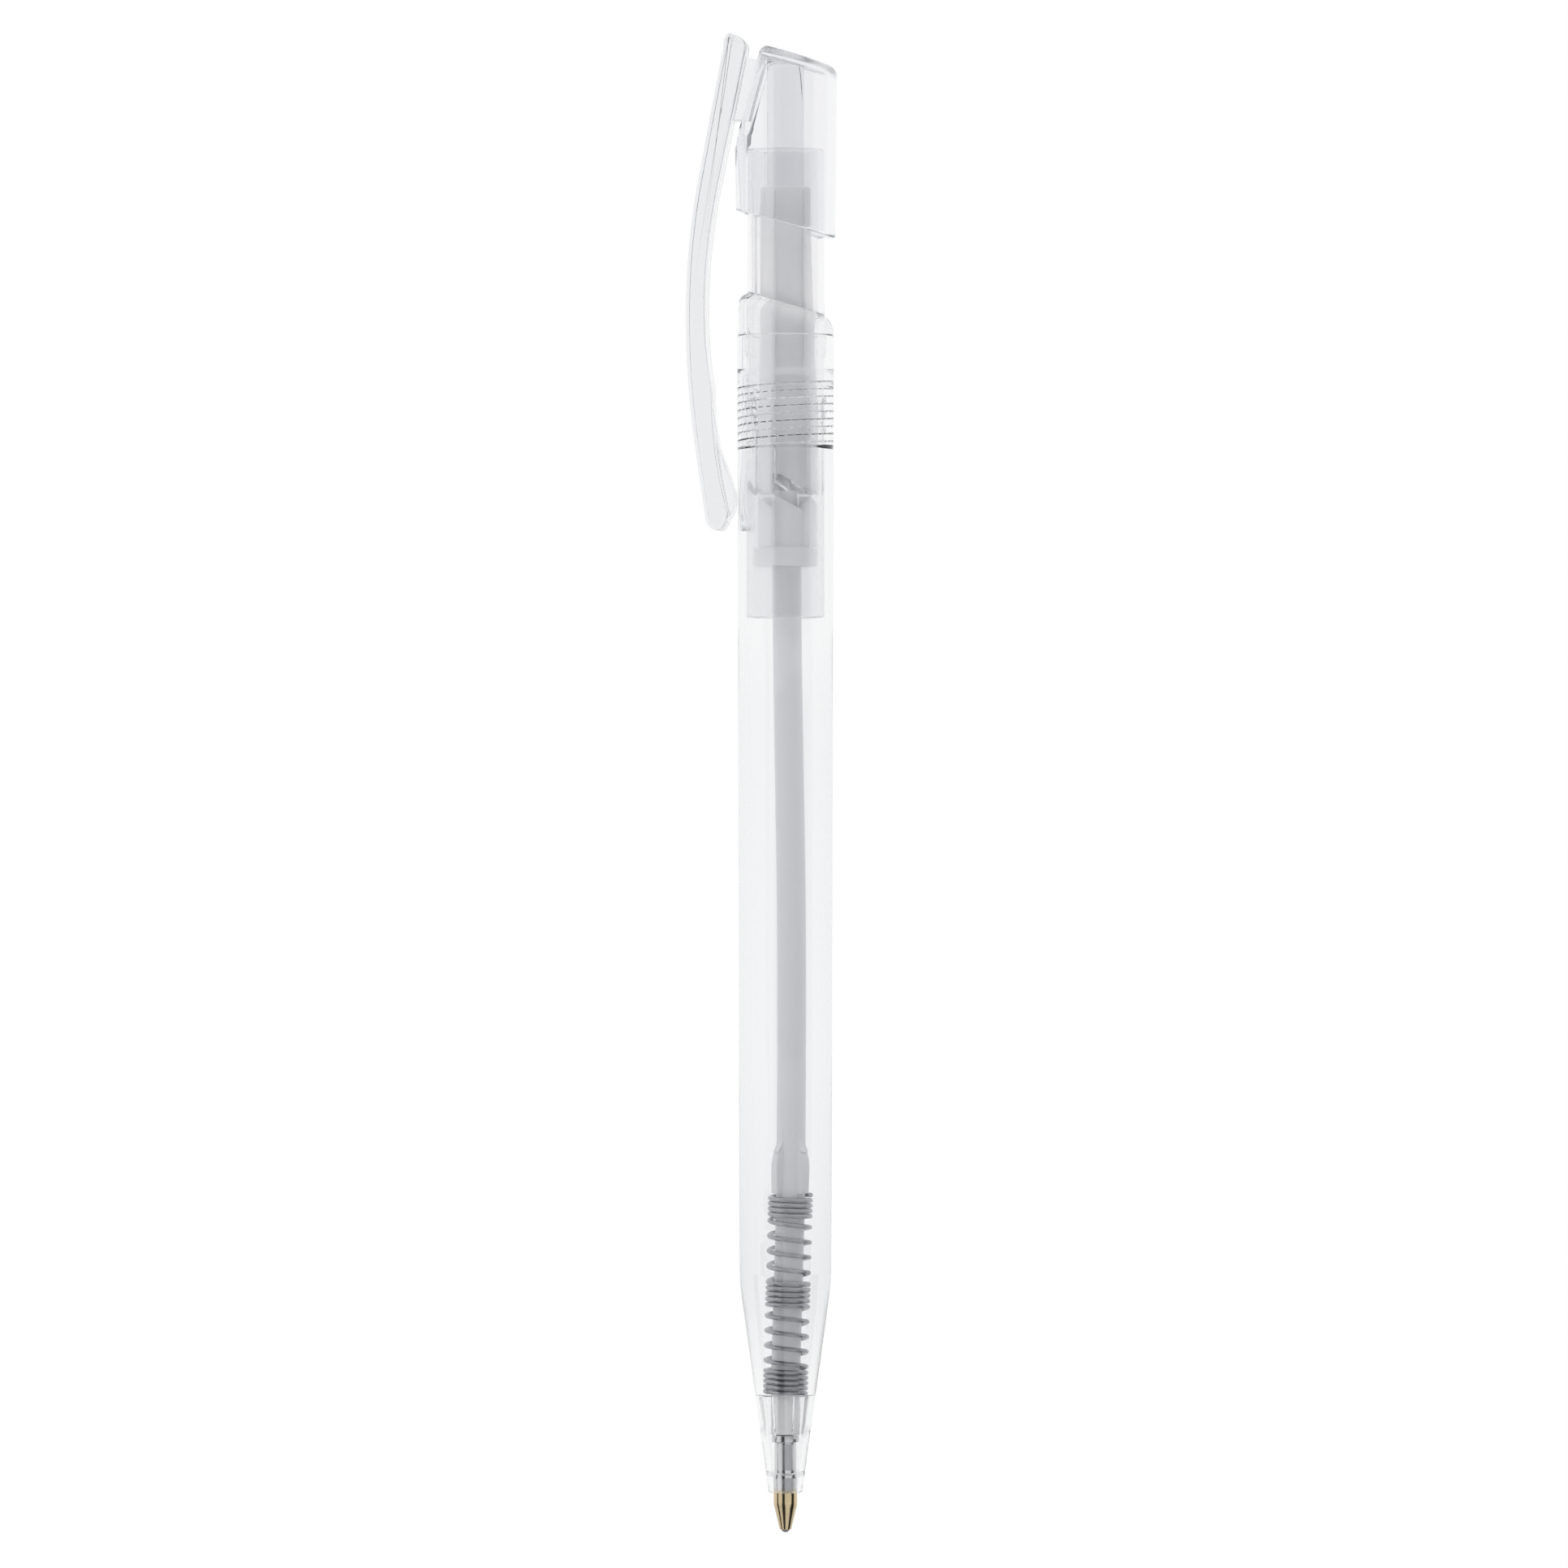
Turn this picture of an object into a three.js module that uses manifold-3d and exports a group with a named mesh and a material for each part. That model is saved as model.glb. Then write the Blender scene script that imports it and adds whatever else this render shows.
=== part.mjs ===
// A clear retractable ballpoint pen, its writing point out.
// Millimetres, +Z up the pen's axis, the pocket clip on the -X side.
// Heights are measured from the writing point, and the finished pen is moved down
// by gripHeight, so that the origin is in the middle of the finger grip.

import * as THREE from 'three';
import { mergeVertices } from 'three/addons/utils/BufferGeometryUtils.js';
import Module from 'manifold-3d';

const wasm = await Module();
wasm.setup();

const gripHeight = 35;

// Fineness of the round faces.
const roundSides = 48;
const slimSides = 24;

// Clearances.
const seatGap = 0.1;
const runningGap = 0.08;
const slidingGap = 0.17;

// Barrel, outside.
const mouthHeight = 3.9;
const noseLength = 20.5;
const rimHeight = 116.05;
const mouthRadius = 1.62;
const gripRadius = 4.45;
const rimRadius = 4.68;
const mouthRounding = 0.25;
const rimChamfer = 0.12;
const noseBlendLength = 1.0;
const noseBlendDrop = 0.07;

// Barrel, inside.
const guideLength = 1.6;
const guideTaperLength = 0.55;
const noseBoreRadius = 1.56;
const springSeatRise = 9.5;
const springSeatWidth = 0.26;
const gripWall = 1.6;
const barrelWall = 1.1;
const gripLength = 21.5;

// Writing tip and refill.
const ballRadius = 0.45;
const ballGap = 0.04;
const ballShowing = 0.3;
const lipWall = 0.06;
const tipRadius = 1.15;
const tipConeHeight = 2.75;
const tipShoulderHeight = 5.75;
const shankRadius = 1.05;
const tipCollarRadius = 1.32;
const tipCollarLength = 0.68;
const tipStemLength = 5;
const inkChannelRadius = 0.3;
const refillFootHeight = 9.6;
const refillRadius = 1.41;
const refillBoreRadius = 0.98;
const inkLength = 56;
const greaseLength = 6;
const wingLength = 5;
const wingTaper = 2.15;
const wingRadius = 2.15;
const wingThickness = 0.8;
const wingCount = 4;

// Return spring: stretches of closer and of opener curls, from the seat upwards.
const springRadius = 2.2;
const springWire = 0.46;
const springRoom = 19.55;
const closePitch = 0.9;
const springStretches = [
  { curls: 2, pitch: closePitch },
  { curls: 4.25, pitch: 1.52 },
  { curls: 2, pitch: closePitch },
  { curls: 4.25, pitch: 1.52 },
];
const curlSteps = 8;
const wireSides = 5;

// Upper sleeve, which carries the click mechanism.
const sleeveInsertLength = 27.3;
const neckLength = 18;
const sleeveRadius = 3.78;
const sleeveWall = 0.58;
const sleeveChamfer = 0.3;
const threadLength = 11.5;
const threadDepth = 0.2;
const collarLength = 1.6;
const shoulderLength = 3.1;
const shoulderEdgeLength = 2.15;
const clipSide = 180;
const keywayDepth = 0.12;
const keywaySweep = 90;
const keywayTopMargin = 0.8;

// Click mechanism: the stops in the sleeve, the rotor and the plunger's teeth.
const stopCount = 4;
const stopRise = 11.8;
const stopLength = 11.45;
const stopSweep = 54;
const stopRadius = 2.6;
const grooveSlack = 4;
const toothHeight = 2.2;
const rampHeight = 1.2;
const groovePhase = -30;
const toothPhase = -15;
const rotorGap = 0.3;
const rotorLength = 6.8;
const rotorFlangeLength = 1.75;
const rotorCoreRadius = 2.48;
const rotorPinRadius = 1.2;
const rotorPinLength = 4.35;
const rotorSocketDepth = 3.15;
const rotorRoof = 1.1;

// Plunger.
const plungerLength = 27.7;
const plungerSlimLength = 4.15;
const plungerRadius = 2.45;
const plungerSlimRadius = 2.05;
const plungerSlimBore = 1.45;
const plungerRibLength = 6.5;

// Push cap and its clip, one moulding.
const obliqueAngle = 16.2;
const capLength = 16.65;
const skirtRise = 10.8;
const capTopRadius = 5.0;
const capSkirtRadius = 4.83;
const capWall = 0.85;
const capRoof = 0.68;
const capRounding = 0.9;
const skirtRounding = 0.2;
const postRadius = 1.8;
const postFootRise = 7.25;
const bevelTilt = 16.5;
const bevelTopReach = 1.85;
const bevelWall = 0.36;
const keyGap = 0.08;
const keyMargin = 3;
const keyLength = 4;

const clipWidth = 4.4;
const clipThickness = 2.05;
const clipEdge = 0.2;
const clipHeadRise = 0.6;
const clipHeadReach = 5.75;
const clipHeadHeight = 1.2;
const clipUpperBendReach = 8.31;
const clipUpperBendDrop = 12.2;
const clipLowerBendReach = 8.54;
const clipLowerBendDrop = 38.9;
const clipEndReach = 7.7;
const clipEndDrop = 44.6;
const clipFootDrop = 46.3;
const clipNoseDrop = 43;
const clipNoseStartDrop = 32.2;
const clipNoseGap = 0.1;
const webWidth = 2.4;
const webTopDrop = 0.8;
const webLength = 5.7;

// Values that follow from the ones above. Heights are above the writing point.
const slope = Math.tan(THREE.MathUtils.degToRad(obliqueAngle));
const noseTopHeight = mouthHeight + noseLength;
const springSeatHeight = mouthHeight + springSeatRise;
const wingHeight = springSeatHeight + springRoom;
const sleeveFootHeight = rimHeight - sleeveInsertLength;
const sleeveTopHeight = rimHeight + neckLength;
const threadFootHeight = rimHeight - threadLength;
const shoulderNeckHeight = rimHeight + shoulderLength;
const shoulderEdgeHeight = rimHeight + shoulderEdgeLength;
const stopTipHeight = sleeveFootHeight + stopRise;
const stopTopHeight = stopTipHeight + stopLength;
const stopPitch = 360 / stopCount;
const grooveSweep = stopPitch - stopSweep;
const ribSweep = grooveSweep - 2 * grooveSlack;
const sleeveBore = sleeveRadius - sleeveWall;
const ribRadius = sleeveBore - runningGap;
const collarRadius = sleeveRadius + threadDepth;
const refillHoleRadius = refillRadius + runningGap;
const wireRadius = springWire / 2;
const springFootHeight = springSeatHeight + seatGap;
const springTopHeight = wingHeight - seatGap;
const coilRadius = springRadius - wireRadius;
const rotorPeakHeight = stopTipHeight - rotorGap;
const rotorValleyHeight = rotorPeakHeight - toothHeight;
const rotorFootHeight = rotorPeakHeight - rotorLength;
const rotorPinHeight = rotorPeakHeight + rotorPinLength;
const refillTopHeight = rotorFootHeight + rotorSocketDepth;
const plungerFootHeight = stopTipHeight + toothHeight;
const plungerTopHeight = plungerFootHeight + plungerLength;
const plungerStepHeight = plungerFootHeight + plungerSlimLength;
const postFootHeight = plungerFootHeight + postFootRise;
const capSkirtHeight = rimHeight + skirtRise;
const capTopHeight = capSkirtHeight + capLength;
const clipHead = { x: -clipHeadReach, z: capTopHeight + clipHeadHeight };
const clipUpperBend = { x: -clipUpperBendReach, z: capTopHeight - clipUpperBendDrop };
const clipLowerBend = { x: -clipLowerBendReach, z: capTopHeight - clipLowerBendDrop };
const clipEnd = { x: -clipEndReach, z: capTopHeight - clipEndDrop };
const clipFootHeight = capTopHeight - clipFootDrop;
const clipNoseHeight = capTopHeight - clipNoseDrop;
const clipNoseStart = capTopHeight - clipNoseStartDrop;
const webTopHeight = capTopHeight - webTopDrop;
const webFootHeight = webTopHeight - webLength;
const crownBore = rotorPinRadius + 2 * runningGap;

const materials = {
  clear: new THREE.MeshStandardMaterial({
    color: 0xe6e8ea,
    roughness: 0.08,
    metalness: 0,
    transparent: true,
    opacity: 0.35,
  }),
  frosted: new THREE.MeshStandardMaterial({ color: 0xd4d5d7, roughness: 0.4, metalness: 0 }),
  tube: new THREE.MeshStandardMaterial({ color: 0xc4c5c7, roughness: 0.35, metalness: 0 }),
  ink: new THREE.MeshStandardMaterial({ color: 0x17181c, roughness: 0.3, metalness: 0 }),
  grease: new THREE.MeshStandardMaterial({ color: 0xd8d2a8, roughness: 0.3, metalness: 0 }),
  steel: new THREE.MeshStandardMaterial({ color: 0xa9abae, roughness: 0.22, metalness: 1 }),
  brass: new THREE.MeshStandardMaterial({ color: 0xc2ad84, roughness: 0.25, metalness: 1 }),
  carbide: new THREE.MeshStandardMaterial({ color: 0x6e6f73, roughness: 0.12, metalness: 1 }),
};

// Radians from degrees.
function turn(degrees) {
  return THREE.MathUtils.degToRad(degrees);
}

// Six times the volume that the triangles enclose, below zero when they face inwards.
function signedVolume(position, index) {
  const a = new THREE.Vector3();
  const b = new THREE.Vector3();
  const c = new THREE.Vector3();
  let sum = 0;
  for (let i = 0; i < index.length; i += 3) {
    a.fromBufferAttribute(position, index[i]);
    b.fromBufferAttribute(position, index[i + 1]);
    c.fromBufferAttribute(position, index[i + 2]);
    sum += a.dot(b.cross(c));
  }
  return sum;
}

// A solid for joins and cuts, from a closed geometry whichever way its faces point.
function solid(geometry) {
  const bare = geometry.clone();
  bare.deleteAttribute('normal');
  bare.deleteAttribute('uv');
  const merged = mergeVertices(bare, 1e-5);
  const position = merged.getAttribute('position');
  const inwards = signedVolume(position, merged.index.array) < 0;
  const triangles = [];
  for (let i = 0; i < merged.index.count; i += 3) {
    const [a, b, c] = merged.index.array.slice(i, i + 3);
    if (a !== b && b !== c && c !== a) {
      triangles.push(...(inwards ? [a, c, b] : [a, b, c]));
    }
  }
  return new wasm.Manifold(new wasm.Mesh({
    numProp: 3,
    vertProperties: new Float32Array(position.array),
    triVerts: new Uint32Array(triangles),
  }));
}

// A geometry again, from a solid.
function geometryOf(body) {
  const mesh = body.getMesh();
  const geometry = new THREE.BufferGeometry();
  geometry.setAttribute('position', new THREE.BufferAttribute(mesh.vertProperties, 3));
  geometry.setIndex(new THREE.BufferAttribute(mesh.triVerts, 1));
  return geometry;
}

// A solid of revolution about Z from an outline of [radius, height] points.
function revolve(outline, sides = roundSides) {
  const points = outline.map(([radius, height]) => new THREE.Vector2(radius, height));
  return new THREE.LatheGeometry(points, sides).rotateX(Math.PI / 2);
}

// The same outline with its last point joined to its first, for a ring or a tube.
function revolveRing(outline, sides = roundSides) {
  return revolve([...outline, outline[0]], sides);
}

// Slants a geometry along X by the angle of the cap's top, about the axis.
function slanted(geometry) {
  const position = geometry.getAttribute('position');
  for (let i = 0; i < position.count; i += 1) {
    position.setZ(i, position.getZ(i) - slope * position.getX(i));
  }
  return geometry;
}

// A wedge of a ring. low and high give its end heights for a share from 0 to 1 of the sweep.
function ringSector({ inner, outer, start, sweep, low, high, steps = 6 }) {
  const points = [];
  for (let i = 0; i <= steps; i += 1) {
    const share = i / steps;
    const angle = turn(start + sweep * share);
    const corners = [
      [inner, low(share)],
      [outer, low(share)],
      [outer, high(share)],
      [inner, high(share)],
    ];
    for (const [radius, height] of corners) {
      points.push(radius * Math.cos(angle), radius * Math.sin(angle), height);
    }
  }
  const index = [];
  for (let i = 0; i < steps; i += 1) {
    for (let k = 0; k < 4; k += 1) {
      const near = 4 * i + k;
      const beside = 4 * i + (k + 1) % 4;
      index.push(near, near + 4, beside + 4, near, beside + 4, beside);
    }
  }
  const last = 4 * steps;
  index.push(0, 1, 2, 0, 2, 3, last, last + 2, last + 1, last, last + 3, last + 2);
  const geometry = new THREE.BufferGeometry();
  geometry.setAttribute('position', new THREE.Float32BufferAttribute(points, 3));
  geometry.setIndex(index);
  return solid(geometry);
}

// An outline of x and height, extruded across the pen about its middle plane.
function crossExtrude(shape, width, edge) {
  const geometry = new THREE.ExtrudeGeometry(shape, {
    depth: width - 2 * edge,
    bevelEnabled: edge > 0,
    bevelThickness: edge,
    bevelSize: edge,
    bevelOffset: -edge,
    bevelSegments: 1,
    curveSegments: 6,
  });
  return geometry.rotateX(Math.PI / 2).translate(0, width / 2 - edge, 0);
}

// The barrel's outer radius on its long draft, at a height above the nose.
function barrelRadiusAt(height) {
  const share = (height - noseTopHeight) / (rimHeight - noseTopHeight);
  return THREE.MathUtils.lerp(gripRadius, rimRadius, share);
}

// Barrel: tapered nose, long drafted body, spring seat and thread bore.
function makeBarrel() {
  const guideRadius = tipRadius + runningGap;
  const guideTop = mouthHeight + guideLength;
  const pocketRadius = springRadius + 2 * runningGap;
  const sleeveHole = sleeveRadius + runningGap;
  const threadHole = collarRadius + runningGap;
  const gripTop = noseTopHeight + gripLength;
  const pocketFoot = sleeveFootHeight - 1;
  return solid(revolveRing([
    [guideRadius, mouthHeight],
    [mouthRadius - mouthRounding, mouthHeight],
    [mouthRadius - mouthRounding * 0.3, mouthHeight + mouthRounding * 0.3],
    [mouthRadius, mouthHeight + mouthRounding],
    [gripRadius - noseBlendDrop, noseTopHeight - noseBlendLength],
    [gripRadius, noseTopHeight + noseBlendLength],
    [rimRadius, rimHeight - rimChamfer],
    [rimRadius - rimChamfer, rimHeight],
    [threadHole, rimHeight],
    [threadHole, threadFootHeight],
    [sleeveHole, threadFootHeight - threadDepth],
    [sleeveHole, pocketFoot],
    [barrelRadiusAt(pocketFoot) - barrelWall, pocketFoot - 2],
    [barrelRadiusAt(gripTop) - barrelWall, gripTop],
    [gripRadius - gripWall, noseTopHeight + noseBlendLength],
    [pocketRadius, springSeatHeight],
    [springRadius - springSeatWidth, springSeatHeight],
    [noseBoreRadius, refillFootHeight],
    [noseBoreRadius - runningGap, guideTop + guideTaperLength],
    [guideRadius, guideTop],
  ]));
}

// One stop rib of the sleeve. Its foot has two ramps: the first ends in the notch that
// holds the rotor with the point out, the second lets it into the groove.
function makeStopRib(index) {
  const start = groovePhase + grooveSweep / 2 + index * stopPitch;
  const reach = sleeveWall / 2;
  const ramps = [0, 1].map((half) => ringSector({
    inner: stopRadius,
    outer: sleeveBore + reach,
    start: start + half * stopSweep / 2,
    sweep: stopSweep / 2,
    low: (share) => stopTipHeight + rampHeight * (1 - share),
    high: () => stopTopHeight,
    steps: 4,
  }));
  return ramps[0].add(ramps[1]);
}

// Upper sleeve: fits in the barrel, carries the stops, and its neck guides the cap.
function makeUpperSleeve() {
  const collarFoot = rimHeight - collarLength;
  const flangeFoot = rimHeight + seatGap;
  const tube = solid(revolveRing([
    [sleeveBore, sleeveFootHeight],
    [sleeveRadius - sleeveChamfer, sleeveFootHeight],
    [sleeveRadius, sleeveFootHeight + sleeveChamfer],
    [sleeveRadius, collarFoot - threadDepth],
    [collarRadius, collarFoot],
    [collarRadius, flangeFoot + threadDepth],
    [sleeveRadius, flangeFoot + 2 * threadDepth],
    [sleeveRadius, sleeveTopHeight - sleeveChamfer],
    [sleeveRadius - sleeveChamfer / 2, sleeveTopHeight],
    [sleeveBore, sleeveTopHeight],
  ]));
  const edge = barrelRadiusAt(rimHeight);
  const band = sleeveRadius - sleeveWall / 2;
  const rise = shoulderNeckHeight - shoulderEdgeHeight;
  const spread = edge - sleeveRadius;
  const shoulder = solid(slanted(revolveRing([
    [band, flangeFoot - 2],
    [edge, flangeFoot - 2],
    [edge, shoulderEdgeHeight - 0.35 * rise],
    [edge - 0.12 * spread, shoulderEdgeHeight + 0.1 * rise],
    [sleeveRadius + 0.2 * spread, shoulderNeckHeight - 0.2 * rise],
    [sleeveRadius, shoulderNeckHeight + 0.3 * rise],
    [band, shoulderNeckHeight + 0.3 * rise],
  ])));
  const below = solid(
    new THREE.BoxGeometry(4 * edge, 4 * edge, 8).translate(0, 0, flangeFoot - 4),
  );
  const keyway = ringSector({
    inner: sleeveRadius - keywayDepth,
    outer: 2 * sleeveRadius,
    start: clipSide - keywaySweep / 2,
    sweep: keywaySweep,
    low: () => shoulderNeckHeight + slope * sleeveRadius + keywayTopMargin,
    high: () => sleeveTopHeight + 1,
    steps: 12,
  });
  let sleeve = tube.add(shoulder.subtract(below)).subtract(keyway);
  for (let i = 0; i < stopCount; i += 1) {
    sleeve = sleeve.add(makeStopRib(i));
  }
  return sleeve;
}

// The solid outside of the slanted plane on the cap's clip side, moved in by a wall.
function beyondBevel(wall) {
  const size = 6 * capTopRadius;
  const top = capTopHeight + slope * bevelTopReach;
  const block = new THREE.BoxGeometry(size, size, 4 * size)
    .translate(wall - size / 2, 0, 0)
    .rotateY(turn(bevelTilt))
    .translate(-bevelTopReach, 0, top);
  return solid(block);
}

// The cap's shell, with its oblique press face and skirt.
function makeCapShell() {
  const flank = capTopRadius - capRounding;
  const outside = solid(slanted(revolve([
    [0, capSkirtHeight],
    [capSkirtRadius - skirtRounding, capSkirtHeight],
    [capSkirtRadius, capSkirtHeight + skirtRounding],
    [capTopRadius, capTopHeight - capRounding],
    [flank + 0.8 * capRounding, capTopHeight - 0.4 * capRounding],
    [flank + 0.4 * capRounding, capTopHeight - 0.1 * capRounding],
    [flank, capTopHeight],
    [0, capTopHeight],
  ])));
  const boreFoot = sleeveRadius + slidingGap;
  const boreTop = capTopRadius - capWall;
  const ceiling = capTopHeight - capRoof;
  const hollow = solid(slanted(revolve([
    [0, capSkirtHeight - 1],
    [boreFoot, capSkirtHeight - 1],
    [boreFoot, capSkirtHeight],
    [boreTop, ceiling - capRounding],
    [boreTop - 0.5 * capRounding, ceiling],
    [0, ceiling],
  ])));
  return outside.subtract(beyondBevel(0)).subtract(hollow.subtract(beyondBevel(bevelWall)));
}

// The land inside the skirt that runs in the sleeve's keyway and keeps the cap from turning.
function makeCapKey() {
  const foot = capSkirtHeight + slope * sleeveRadius + keyMargin - 2;
  return ringSector({
    inner: sleeveRadius - keywayDepth + keyGap,
    outer: sleeveRadius + slidingGap + capWall / 3,
    start: clipSide - keywaySweep / 2 + grooveSlack,
    sweep: keywaySweep - 2 * grooveSlack,
    low: () => foot,
    high: () => foot + keyLength,
    steps: 12,
  });
}

// The clip's side view: a bowed bar with a wedge near its foot that bears on the barrel.
function clipOutline() {
  const upperSlope = (clipHead.x - clipUpperBend.x) / (clipHead.z - clipUpperBend.z);
  const lowerSlope = (clipEnd.x - clipLowerBend.x) / (clipLowerBend.z - clipEnd.z);
  const rise = clipUpperBend.x - clipLowerBend.x
    - upperSlope * clipUpperBend.z - lowerSlope * clipLowerBend.z;
  const bowHeight = -rise / (upperSlope + lowerSlope);
  const bowX = clipLowerBend.x - lowerSlope * (bowHeight - clipLowerBend.z);
  const noseX = -(barrelRadiusAt(clipNoseHeight) + clipNoseGap);
  const noseStartX = clipLowerBend.x + clipThickness
    - lowerSlope * (clipNoseStart - clipLowerBend.z) * 0.6;
  const shape = new THREE.Shape();
  shape.moveTo(clipHead.x, clipHead.z);
  shape.lineTo(clipUpperBend.x, clipUpperBend.z);
  shape.quadraticCurveTo(bowX, bowHeight, clipLowerBend.x, clipLowerBend.z);
  shape.lineTo(clipEnd.x, clipEnd.z);
  shape.quadraticCurveTo(
    clipEnd.x + 0.2, clipFootHeight + 0.1,
    clipEnd.x + 0.6 * clipThickness, clipFootHeight,
  );
  shape.quadraticCurveTo(noseX - 0.4, clipFootHeight + 0.1, noseX - 0.12, clipNoseHeight - 1.2);
  shape.lineTo(noseX, clipNoseHeight - 0.4);
  shape.lineTo(noseX, clipNoseHeight + 0.3);
  shape.lineTo(noseStartX, clipNoseStart);
  shape.quadraticCurveTo(
    bowX + clipThickness, bowHeight + 1,
    clipUpperBend.x + clipThickness, clipUpperBend.z,
  );
  shape.lineTo(clipHead.x + clipThickness, clipHead.z - slope * clipThickness);
  shape.lineTo(clipHead.x + 0.75 * clipThickness, clipHead.z);
  shape.lineTo(clipHead.x + 0.4 * clipThickness, clipHead.z + clipHeadRise);
  shape.lineTo(clipHead.x + 0.1 * clipThickness, clipHead.z + 0.75 * clipHeadRise);
  shape.closePath();
  return shape;
}

// The web that joins the clip to the cap's slanted side.
function webOutline() {
  const upperSlope = (clipHead.x - clipUpperBend.x) / (clipHead.z - clipUpperBend.z);
  const clipMiddle = (height) => clipUpperBend.x + clipThickness / 2
    + upperSlope * (height - clipUpperBend.z);
  const bevelSlope = Math.tan(turn(bevelTilt));
  const bevelTop = capTopHeight + slope * bevelTopReach;
  const capSide = (height) => -bevelTopReach - bevelSlope * (bevelTop - height) + bevelWall / 2;
  const shape = new THREE.Shape();
  shape.moveTo(clipMiddle(webFootHeight), webFootHeight);
  shape.lineTo(capSide(webFootHeight), webFootHeight);
  shape.lineTo(capSide(webTopHeight), webTopHeight);
  shape.lineTo(clipMiddle(webTopHeight), webTopHeight + slope * clipThickness);
  shape.closePath();
  return shape;
}

// Push cap with its clip and the post that drives the plunger.
function makePushCap() {
  const postTop = capTopHeight - capRoof / 2 - slope * postRadius;
  const post = solid(revolve([
    [0, postFootHeight],
    [postRadius - seatGap, postFootHeight],
    [postRadius, postFootHeight + 2 * seatGap],
    [postRadius, postTop],
    [0, postTop],
  ], slimSides));
  const clip = solid(crossExtrude(clipOutline(), clipWidth, clipEdge));
  const web = solid(crossExtrude(webOutline(), webWidth, 0));
  return makeCapShell().add(makeCapKey()).add(post).add(web).add(clip);
}

// Height of the plunger's toothed edge at an angle in degrees.
function toothEdgeAt(angle) {
  const past = THREE.MathUtils.euclideanModulo(angle - toothPhase, stopPitch);
  return stopTipHeight + toothHeight * (1 - past / stopPitch);
}

// One downward tooth of the plunger's foot, which pushes the rotor round.
function makePlungerTooth(index) {
  return ringSector({
    inner: plungerSlimBore,
    outer: plungerSlimRadius,
    start: toothPhase + index * stopPitch,
    sweep: stopPitch,
    low: (share) => stopTipHeight + toothHeight * (1 - share),
    high: () => plungerFootHeight + 1,
    steps: 6,
  });
}

// One rib of the plunger, which keeps it from turning in the sleeve's groove.
function makePlungerRib(index) {
  const start = groovePhase - ribSweep / 2 + index * stopPitch;
  return ringSector({
    inner: (plungerSlimBore + plungerSlimRadius) / 2,
    outer: ribRadius,
    start,
    sweep: ribSweep,
    low: (share) => toothEdgeAt(start + ribSweep * share),
    high: () => plungerFootHeight + plungerRibLength,
    steps: 3,
  });
}

// Plunger: a tube on the cap's post, toothed at its foot.
function makePlunger() {
  const postHole = postRadius + runningGap / 2;
  const step = plungerStepHeight + (plungerRadius - plungerSlimRadius);
  let plunger = solid(revolveRing([
    [plungerSlimBore, plungerFootHeight],
    [plungerSlimRadius, plungerFootHeight],
    [plungerSlimRadius, plungerStepHeight],
    [plungerRadius, step],
    [plungerRadius, plungerTopHeight - seatGap],
    [plungerRadius - seatGap, plungerTopHeight],
    [postHole, plungerTopHeight],
    [postHole, postFootHeight - seatGap],
    [plungerSlimBore, postFootHeight - 4 * seatGap],
  ], slimSides));
  for (let i = 0; i < stopCount; i += 1) {
    plunger = plunger.add(makePlungerTooth(i)).add(makePlungerRib(i));
  }
  return plunger;
}

// One upward tooth of the rotor's crown.
function makeRotorTooth(index) {
  return ringSector({
    inner: crownBore,
    outer: rotorCoreRadius,
    start: toothPhase + index * stopPitch,
    sweep: stopPitch,
    low: () => rotorValleyHeight - 1,
    high: (share) => rotorValleyHeight + toothHeight * (1 - share),
    steps: 6,
  });
}

// One rib of the rotor, with the slanted head that meets the stops.
function makeRotorRib(index) {
  return ringSector({
    inner: (crownBore + rotorCoreRadius) / 2,
    outer: ribRadius,
    start: groovePhase - ribSweep / 2 + index * stopPitch,
    sweep: ribSweep,
    low: () => rotorFootHeight + rotorFlangeLength / 2,
    high: (share) => rotorPeakHeight - rampHeight * share,
    steps: 3,
  });
}

// Cam rotor: it sits on the refill's end and turns an eighth of a turn at each click.
function makeCamRotor() {
  const holeTop = refillTopHeight + seatGap;
  let rotor = solid(revolve([
    [0, holeTop],
    [refillHoleRadius, holeTop],
    [refillHoleRadius, rotorFootHeight],
    [ribRadius - seatGap, rotorFootHeight],
    [ribRadius, rotorFootHeight + seatGap],
    [ribRadius, rotorFootHeight + rotorFlangeLength],
    [rotorCoreRadius, rotorFootHeight + rotorFlangeLength],
    [rotorCoreRadius, rotorValleyHeight],
    [crownBore, rotorValleyHeight],
    [crownBore, holeTop + rotorRoof],
    [rotorPinRadius, holeTop + rotorRoof],
    [rotorPinRadius, rotorPinHeight - rotorPinRadius / 2],
    [rotorPinRadius / 2, rotorPinHeight],
    [0, rotorPinHeight],
  ], slimSides));
  for (let i = 0; i < stopCount; i += 1) {
    rotor = rotor.add(makeRotorTooth(i)).add(makeRotorRib(i));
  }
  return rotor;
}

// One wing of the refill, where the return spring bears.
function makeWing(index) {
  const root = (refillBoreRadius + refillRadius) / 2;
  const shape = new THREE.Shape();
  shape.moveTo(root, wingHeight);
  shape.lineTo(wingRadius, wingHeight);
  shape.lineTo(wingRadius, wingHeight + wingLength - wingTaper);
  shape.lineTo(refillRadius, wingHeight + wingLength);
  shape.lineTo(root, wingHeight + wingLength);
  shape.closePath();
  const wing = crossExtrude(shape, wingThickness, 0);
  return solid(wing.rotateZ(turn((index + 0.5) * 360 / wingCount)));
}

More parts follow.
